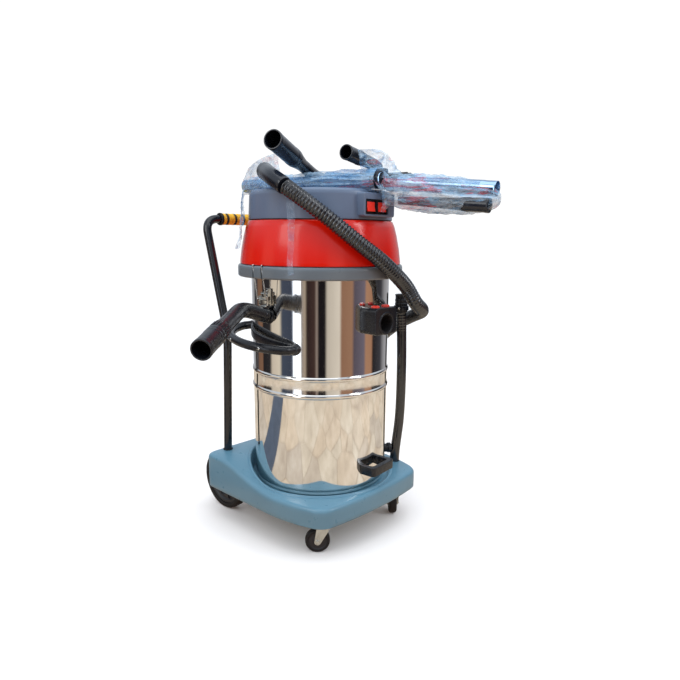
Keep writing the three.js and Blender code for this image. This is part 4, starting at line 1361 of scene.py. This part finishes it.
def make_floor_neck(word, route, pivot, thin, wide):
    """A bent neck that widens to its mouth, with the barrel and tongue of its hinge."""
    root, bend, mouth = (at(*p) for p in route)

    def outer(share, _):
        if share < 0.45:
            return thin
        if share < 0.62:
            return thin + (wide - thin) * ((share - 0.45) / 0.17) ** 1.3
        ring = 0.0007 if 0.64 < share < 0.67 or share > 0.965 else 0
        return wide - 0.0006 + ring

    neck = hollow("neck", bent([root, bend, mouth], 0.03, 0.003), outer, wide - 0.0035, "tool", 0.09, 64)
    barrel = lathe("barrel", mirrored([(0.01, -24), (9, -24), (10, -22.5)]), "tool", 40, 0.6,
                   pivot @ Matrix.Rotation(math.radians(90), 4, "Y"))
    tongue = tube("tongue", [(pivot.translation.copy(), 0.012), (root.lerp(bend, 0.25), thin * 0.98)],
                  "tool", 32)
    keep(joined(f"floor_neck_{word}", neck, barrel, tongue), f"neck_{word}", "black_plastic",
         f"floor_tool_neck_{word}")


# ---------- film ----------
def crease(point, scale, seed):
    """Sharp folds: high along thin lines, low between them."""
    shifted = point * scale + Vector((seed, seed * 0.37, -seed * 0.71))
    return 1 - 2 * abs(noise.noise(shifted))


FILM_LAP = 1.07


def film_sleeve(name, a, b, shape, seed, depth, rows=150, sides=96):
    """Film wrapped once round from a to b, its edges lapped.

    shape(t) gives its half width, half height and drop in metres.
    """
    axis = (b - a).normalized()
    across = axis.cross(Vector((0, 0, 1))).normalized()
    up = across.cross(axis)
    verts = []
    for i in range(rows + 1):
        t = i / rows
        wide, tall, drop = shape(t)
        amount = min(1, 6 * t + 0.4, 6 * (1 - t) + 0.4)
        for k in range(sides + 1):
            angle = 2 * math.pi * FILM_LAP * k / sides
            out = across * math.cos(angle) + up * math.sin(angle)
            base = a.lerp(b, t) + out * (0.002 * k / sides) + across * (wide * math.cos(angle))
            base += up * (tall * math.sin(angle) - drop)
            long_fold = crease(Vector((t * 1.6, math.cos(angle), math.sin(angle))), 2.6, seed)
            fine = crease(base * 22, 1.0, seed + 3) + 0.6 * crease(base * 60, 1.0, seed + 9)
            verts.append(base + out * depth * (0.9 * long_fold + 0.55 * fine - 0.5) * amount)
    return mesh_object(name, verts, grid_faces(rows + 1, sides + 1, around=False), "film", 30)


def film_flap(name, spine, width, seed, depth, columns, step, taper, material):
    """A hanging strip of film along a spine of points, `width` metres across, narrowing by `taper`."""
    path = flow(spine, step)
    verts = []
    for i, (p, (tangent, _, _)) in enumerate(zip(path, frames(path))):
        outward = Vector((p.x - AXIS.x, p.y - AXIS.y, 0)).normalized()
        across = tangent.cross(outward).normalized()
        normal = across.cross(tangent).normalized()
        t = i / (len(path) - 1)
        span = width * (1 - taper * t)
        for k in range(columns + 1):
            u = k / columns - 0.5
            base = p + across * (u * span * (1 + 0.15 * noise.noise(Vector((t * 5, seed, u)))))
            fold = crease(base * 26, 1, seed) + 0.5 * crease(base * 70, 1, seed + 5)
            verts.append(base + normal * depth * fold)
    return mesh_object(name, verts, grid_faces(len(path), columns + 1, around=False), material, 30)


def declare_film(obj, width, held, *nodes):
    """Hangs a film piece on the head and hides the CAD nodes it stands for; width and held are not used."""
    keep(obj, "head", "film", *nodes)


def make_film():
    make_film_sleeves()
    make_film_flaps()


def make_film_sleeves():
    def rear(t):
        return 0.0255 + 0.004 * t, 0.0245 + 0.003 * t, 0.001

    def front(t):
        swell = math.sin(math.pi * min(1, 0.12 + t * 0.88)) ** 0.4
        return 0.029 * swell + 0.004, 0.040 * swell + 0.003, 0.003 * t

    first, last = WAND_1[0].lerp(WAND_1[1], 0.05), WAND_1[0].lerp(WAND_1[1], 0.985)
    sleeve = film_sleeve("film_sleeve_rear", first, last, rear, 2.0, 0.0042)
    declare_film(sleeve, 0.19, "gathered", "film_wrap_1")
    start, end = at(33, -205, 988), at(80, -520, 958)
    sleeve = film_sleeve("film_sleeve_front", start, end, front, 5.0, 0.0050)
    declare_film(sleeve, 0.26, "gathered", "film_wrap_2")


def make_film_flaps():
    left = [
        round_axis(118, 120, 1042), round_axis(132, 168, 1030), round_axis(142, 206, 1002),
        round_axis(146, 216, 965), round_axis(148, 219, 925), round_axis(150, 224, 880),
        round_axis(151, 236, 830),
    ]
    strand = [
        round_axis(203, 212, 985), round_axis(204, 212, 950), round_axis(205, 216, 900),
        round_axis(206, 226, 850), round_axis(206, 236, 800), round_axis(207, 241, 770),
    ]
    panel = [at(6, -205, 1014), at(8, -222, 1000), at(10, -227, 975), at(8, -226, 950), at(2, -222, 930)]
    crumple = [
        at(-28, -170, 1038), at(0, -190, 1043), at(24, -206, 1036), at(40, -226, 1012), at(58, -232, 985),
        at(66, -236, 962),
    ]
    peak = [at(12, -190, 1040), at(18, -196, 1056), at(26, -206, 1074)]
    for name, held, spine, width, seed, depth, columns, step, taper, material in (
        ("film_hanging_left", "hung", left, 0.105, 8.0, 0.005, 30, 0.004, 0.45, "film"),
        ("film_strand", "hung", strand, 0.022, 11.0, 0.0025, 12, 0.004, 0.3, "thin_film"),
        ("film_over_switches", "hung", panel, 0.085, 14.0, 0.006, 36, 0.003, 0.85, "film"),
        ("film_crumple", "gathered", crumple, 0.085, 17.0, 0.012, 50, 0.003, 0.1, "film"),
        ("film_peak", "gathered", peak, 0.042, 21.0, 0.003, 16, 0.002, 0.95, "film"),
    ):
        flap = film_flap(name, spine, width, seed, depth, columns, step, taper, material)
        declare_film(flap, width, held)


# ---------- studio ----------
# What stands round the room and is seen in the polished drum: bearing in degrees, linear colour.
ROOM = [
    (0, (0.30, 0.30, 0.32)), (60, (0.62, 0.64, 0.68)), (95, (0.05, 0.045, 0.05)),
    (101, (0.20, 0.11, 0.07)), (112, (0.22, 0.12, 0.075)), (115, (0.02, 0.018, 0.02)),
    (133, (0.03, 0.028, 0.03)), (138, (0.62, 0.54, 0.44)), (154, (0.70, 0.62, 0.50)),
    (159, (0.06, 0.075, 0.11)), (178, (0.05, 0.06, 0.09)), (182, (2.3, 2.5, 2.8)),
    (191, (2.4, 2.6, 2.9)), (194, (0.30, 0.26, 0.24)), (200, (0.42, 0.34, 0.26)),
    (203, (0.030, 0.018, 0.018)), (216, (0.06, 0.035, 0.03)), (219, (0.35, 0.28, 0.24)),
    (222, (0.012, 0.010, 0.012)), (232, (0.012, 0.010, 0.012)), (236, (0.60, 0.54, 0.46)),
    (256, (0.75, 0.68, 0.58)), (260, (0.30, 0.16, 0.10)), (278, (0.34, 0.19, 0.12)),
    (282, (0.10, 0.085, 0.11)), (302, (0.16, 0.14, 0.18)), (306, (0.42, 0.23, 0.14)),
    (319, (0.38, 0.20, 0.12)), (323, (0.02, 0.018, 0.02)), (345, (0.05, 0.05, 0.06)),
    (359, (0.30, 0.30, 0.32)),
]
SKY = (0.62, 0.68, 0.76)
SKY_STARTS, SKY_FULL = 0.12, 0.42

# The light that falls on the object, from straight below (-1) to straight above (1).
DOME = [
    (-1.0, (0.98, 0.50, 0.32)), (-0.04, (0.90, 0.46, 0.30)), (0.04, (0.34, 0.30, 0.28)),
    (0.5, (0.90, 0.92, 0.96)), (1.0, (1.90, 1.96, 2.05)),
]
PAPER_STRENGTH = 1.05


def make_world():
    """Reflections see a room, the camera sees white paper, and everything else sees the dome."""
    world = bpy.data.worlds.new("studio")
    bpy.context.scene.world = world
    world.use_nodes = True
    tree = NodeTree(world.node_tree)
    tree.nodes.clear()

    def background(color, strength=1.0):
        node = tree.add("Background")
        tree.feed(node, {"Color": color, "Strength": strength})
        return node.outputs["Background"]

    def choose(ray, otherwise, seen):
        node = tree.add("MixShader")
        tree.feed(node, {"Fac": rays.outputs[ray], 1: otherwise, 2: seen})
        return node.outputs["Shader"]

    rays = tree.add("LightPath")
    split = tree.add("SeparateXYZ")
    tree.plug(tree.add("TexCoord").outputs["Generated"], split, "Vector")
    x, y, z = (split.outputs[name] for name in "XYZ")
    turns = tree.math("DIVIDE", tree.math("ARCTAN2", y, x), 2 * math.pi)
    bearing = tree.math("FRACT", tree.math("ADD", turns, 1.0))
    bands = tree.ramp(bearing, [(degrees / 360, color) for degrees, color in ROOM])
    height = tree.span(z, 0, 1, SKY_STARTS, SKY_FULL, "SMOOTHSTEP")
    room = background(tree.mix(height, bands, SKY))
    dome = background(tree.ramp(tree.span(z, 0, 1, -1, 1), [((rise + 1) / 2, color) for rise, color in DOME]))
    paper = background((1, 1, 1), PAPER_STRENGTH)
    seen = choose("Is Glossy Ray", choose("Is Camera Ray", dome, paper), room)
    tree.plug(seen, tree.add("OutputWorld"), "Surface")


def disc(name, radius, height, material, steps=96):
    angles = [2 * math.pi * k / steps for k in range(steps)]
    verts = [AXIS + Vector((radius * math.cos(a), radius * math.sin(a), height)) for a in angles]
    made = mesh_object(name, verts, [tuple(range(steps))], material)
    return made


def make_floor():
    """A plain pale floor that only the camera and the shadows see."""
    floor = disc("floor", 14.0, 0.0, "floor")
    floor.visible_glossy = False
    floor.visible_diffuse = False


def make_reflected_ground():
    """A paved ground with a dark strip of painted shadow, which only the reflections in the machine see."""
    corners = [at(-1400, 395, 0.8), at(-430, 335, 0.8), at(-200, 650, 0.8), at(-1400, 900, 0.8)]
    strip = mesh_object("shadow_strip", corners, [(0, 1, 2, 3)], "painted_shadow")
    for piece in (disc("paving", 2.1, 0.0004, "paving"), strip):
        piece.visible_camera = False
        piece.visible_diffuse = False
        piece.visible_shadow = False


LIGHT_AIM = 0.55


def make_light(name, bearing, reach, height, size, power, color=(1, 1, 1), tall=None):
    """An area light at a bearing, distance and height, turned to the middle of the machine."""
    data = bpy.data.lights.new(name, "AREA")
    data.shape = "RECTANGLE"
    data.size = size
    data.size_y = tall or size
    data.energy = power
    data.color = color
    lamp = bpy.data.objects.new(name, data)
    bpy.context.scene.collection.objects.link(lamp)
    a = math.radians(bearing)
    spot = AXIS + Vector((reach * math.cos(a), reach * math.sin(a), height))
    toward = AXIS + Vector((0, 0, LIGHT_AIM)) - spot
    lamp.matrix_world = Matrix.Translation(spot) @ toward.to_track_quat("-Z", "Y").to_matrix().to_4x4()


make_deck()
make_axle()
make_push_handle()
make_tank()
make_inlet()
make_tipping_handle()
make_drain()
make_hand_tube()
make_head()
make_filter_bag()
for side_word, side_sign in SIDES:
    for make in (make_wheel, make_caster, make_side_handle, make_latch):
        make(side_word, side_sign)
make_wand("wand_rear", WAND_1, "wand_1", 0.945, 0.995)
make_wand("wand_front", WAND_2, "wand_2", 0.40, 0.47)
make_crevice()
make_floor_tool("a", (300, 62, 28), (100, 89, 1002.5), -66.3,
                ((92, 86, 1034), (28, 57, 1040), (-218, -51, 1100)), 17.5, 25)
make_floor_tool("b", (240, 60, 24), (165, -70, 1029.2), -77.6,
                ((162, -72, 1064), (127, -85, 1069), (-23, -118, 1084)), 17, 20)
make_film()
finish_inner_parts()

bpy.context.scene.view_settings.view_transform = "Standard"
make_world()
make_floor()
make_reflected_ground()
make_light("key", 178, 2.4, 2.2, 1.3, 14, (1.0, 0.99, 0.97))
make_light("fill", 290, 2.6, 2.0, 0.45, 15, (0.95, 0.97, 1.0), tall=1.8)
make_light("top", 225, 0.5, 3.0, 2.2, 14)
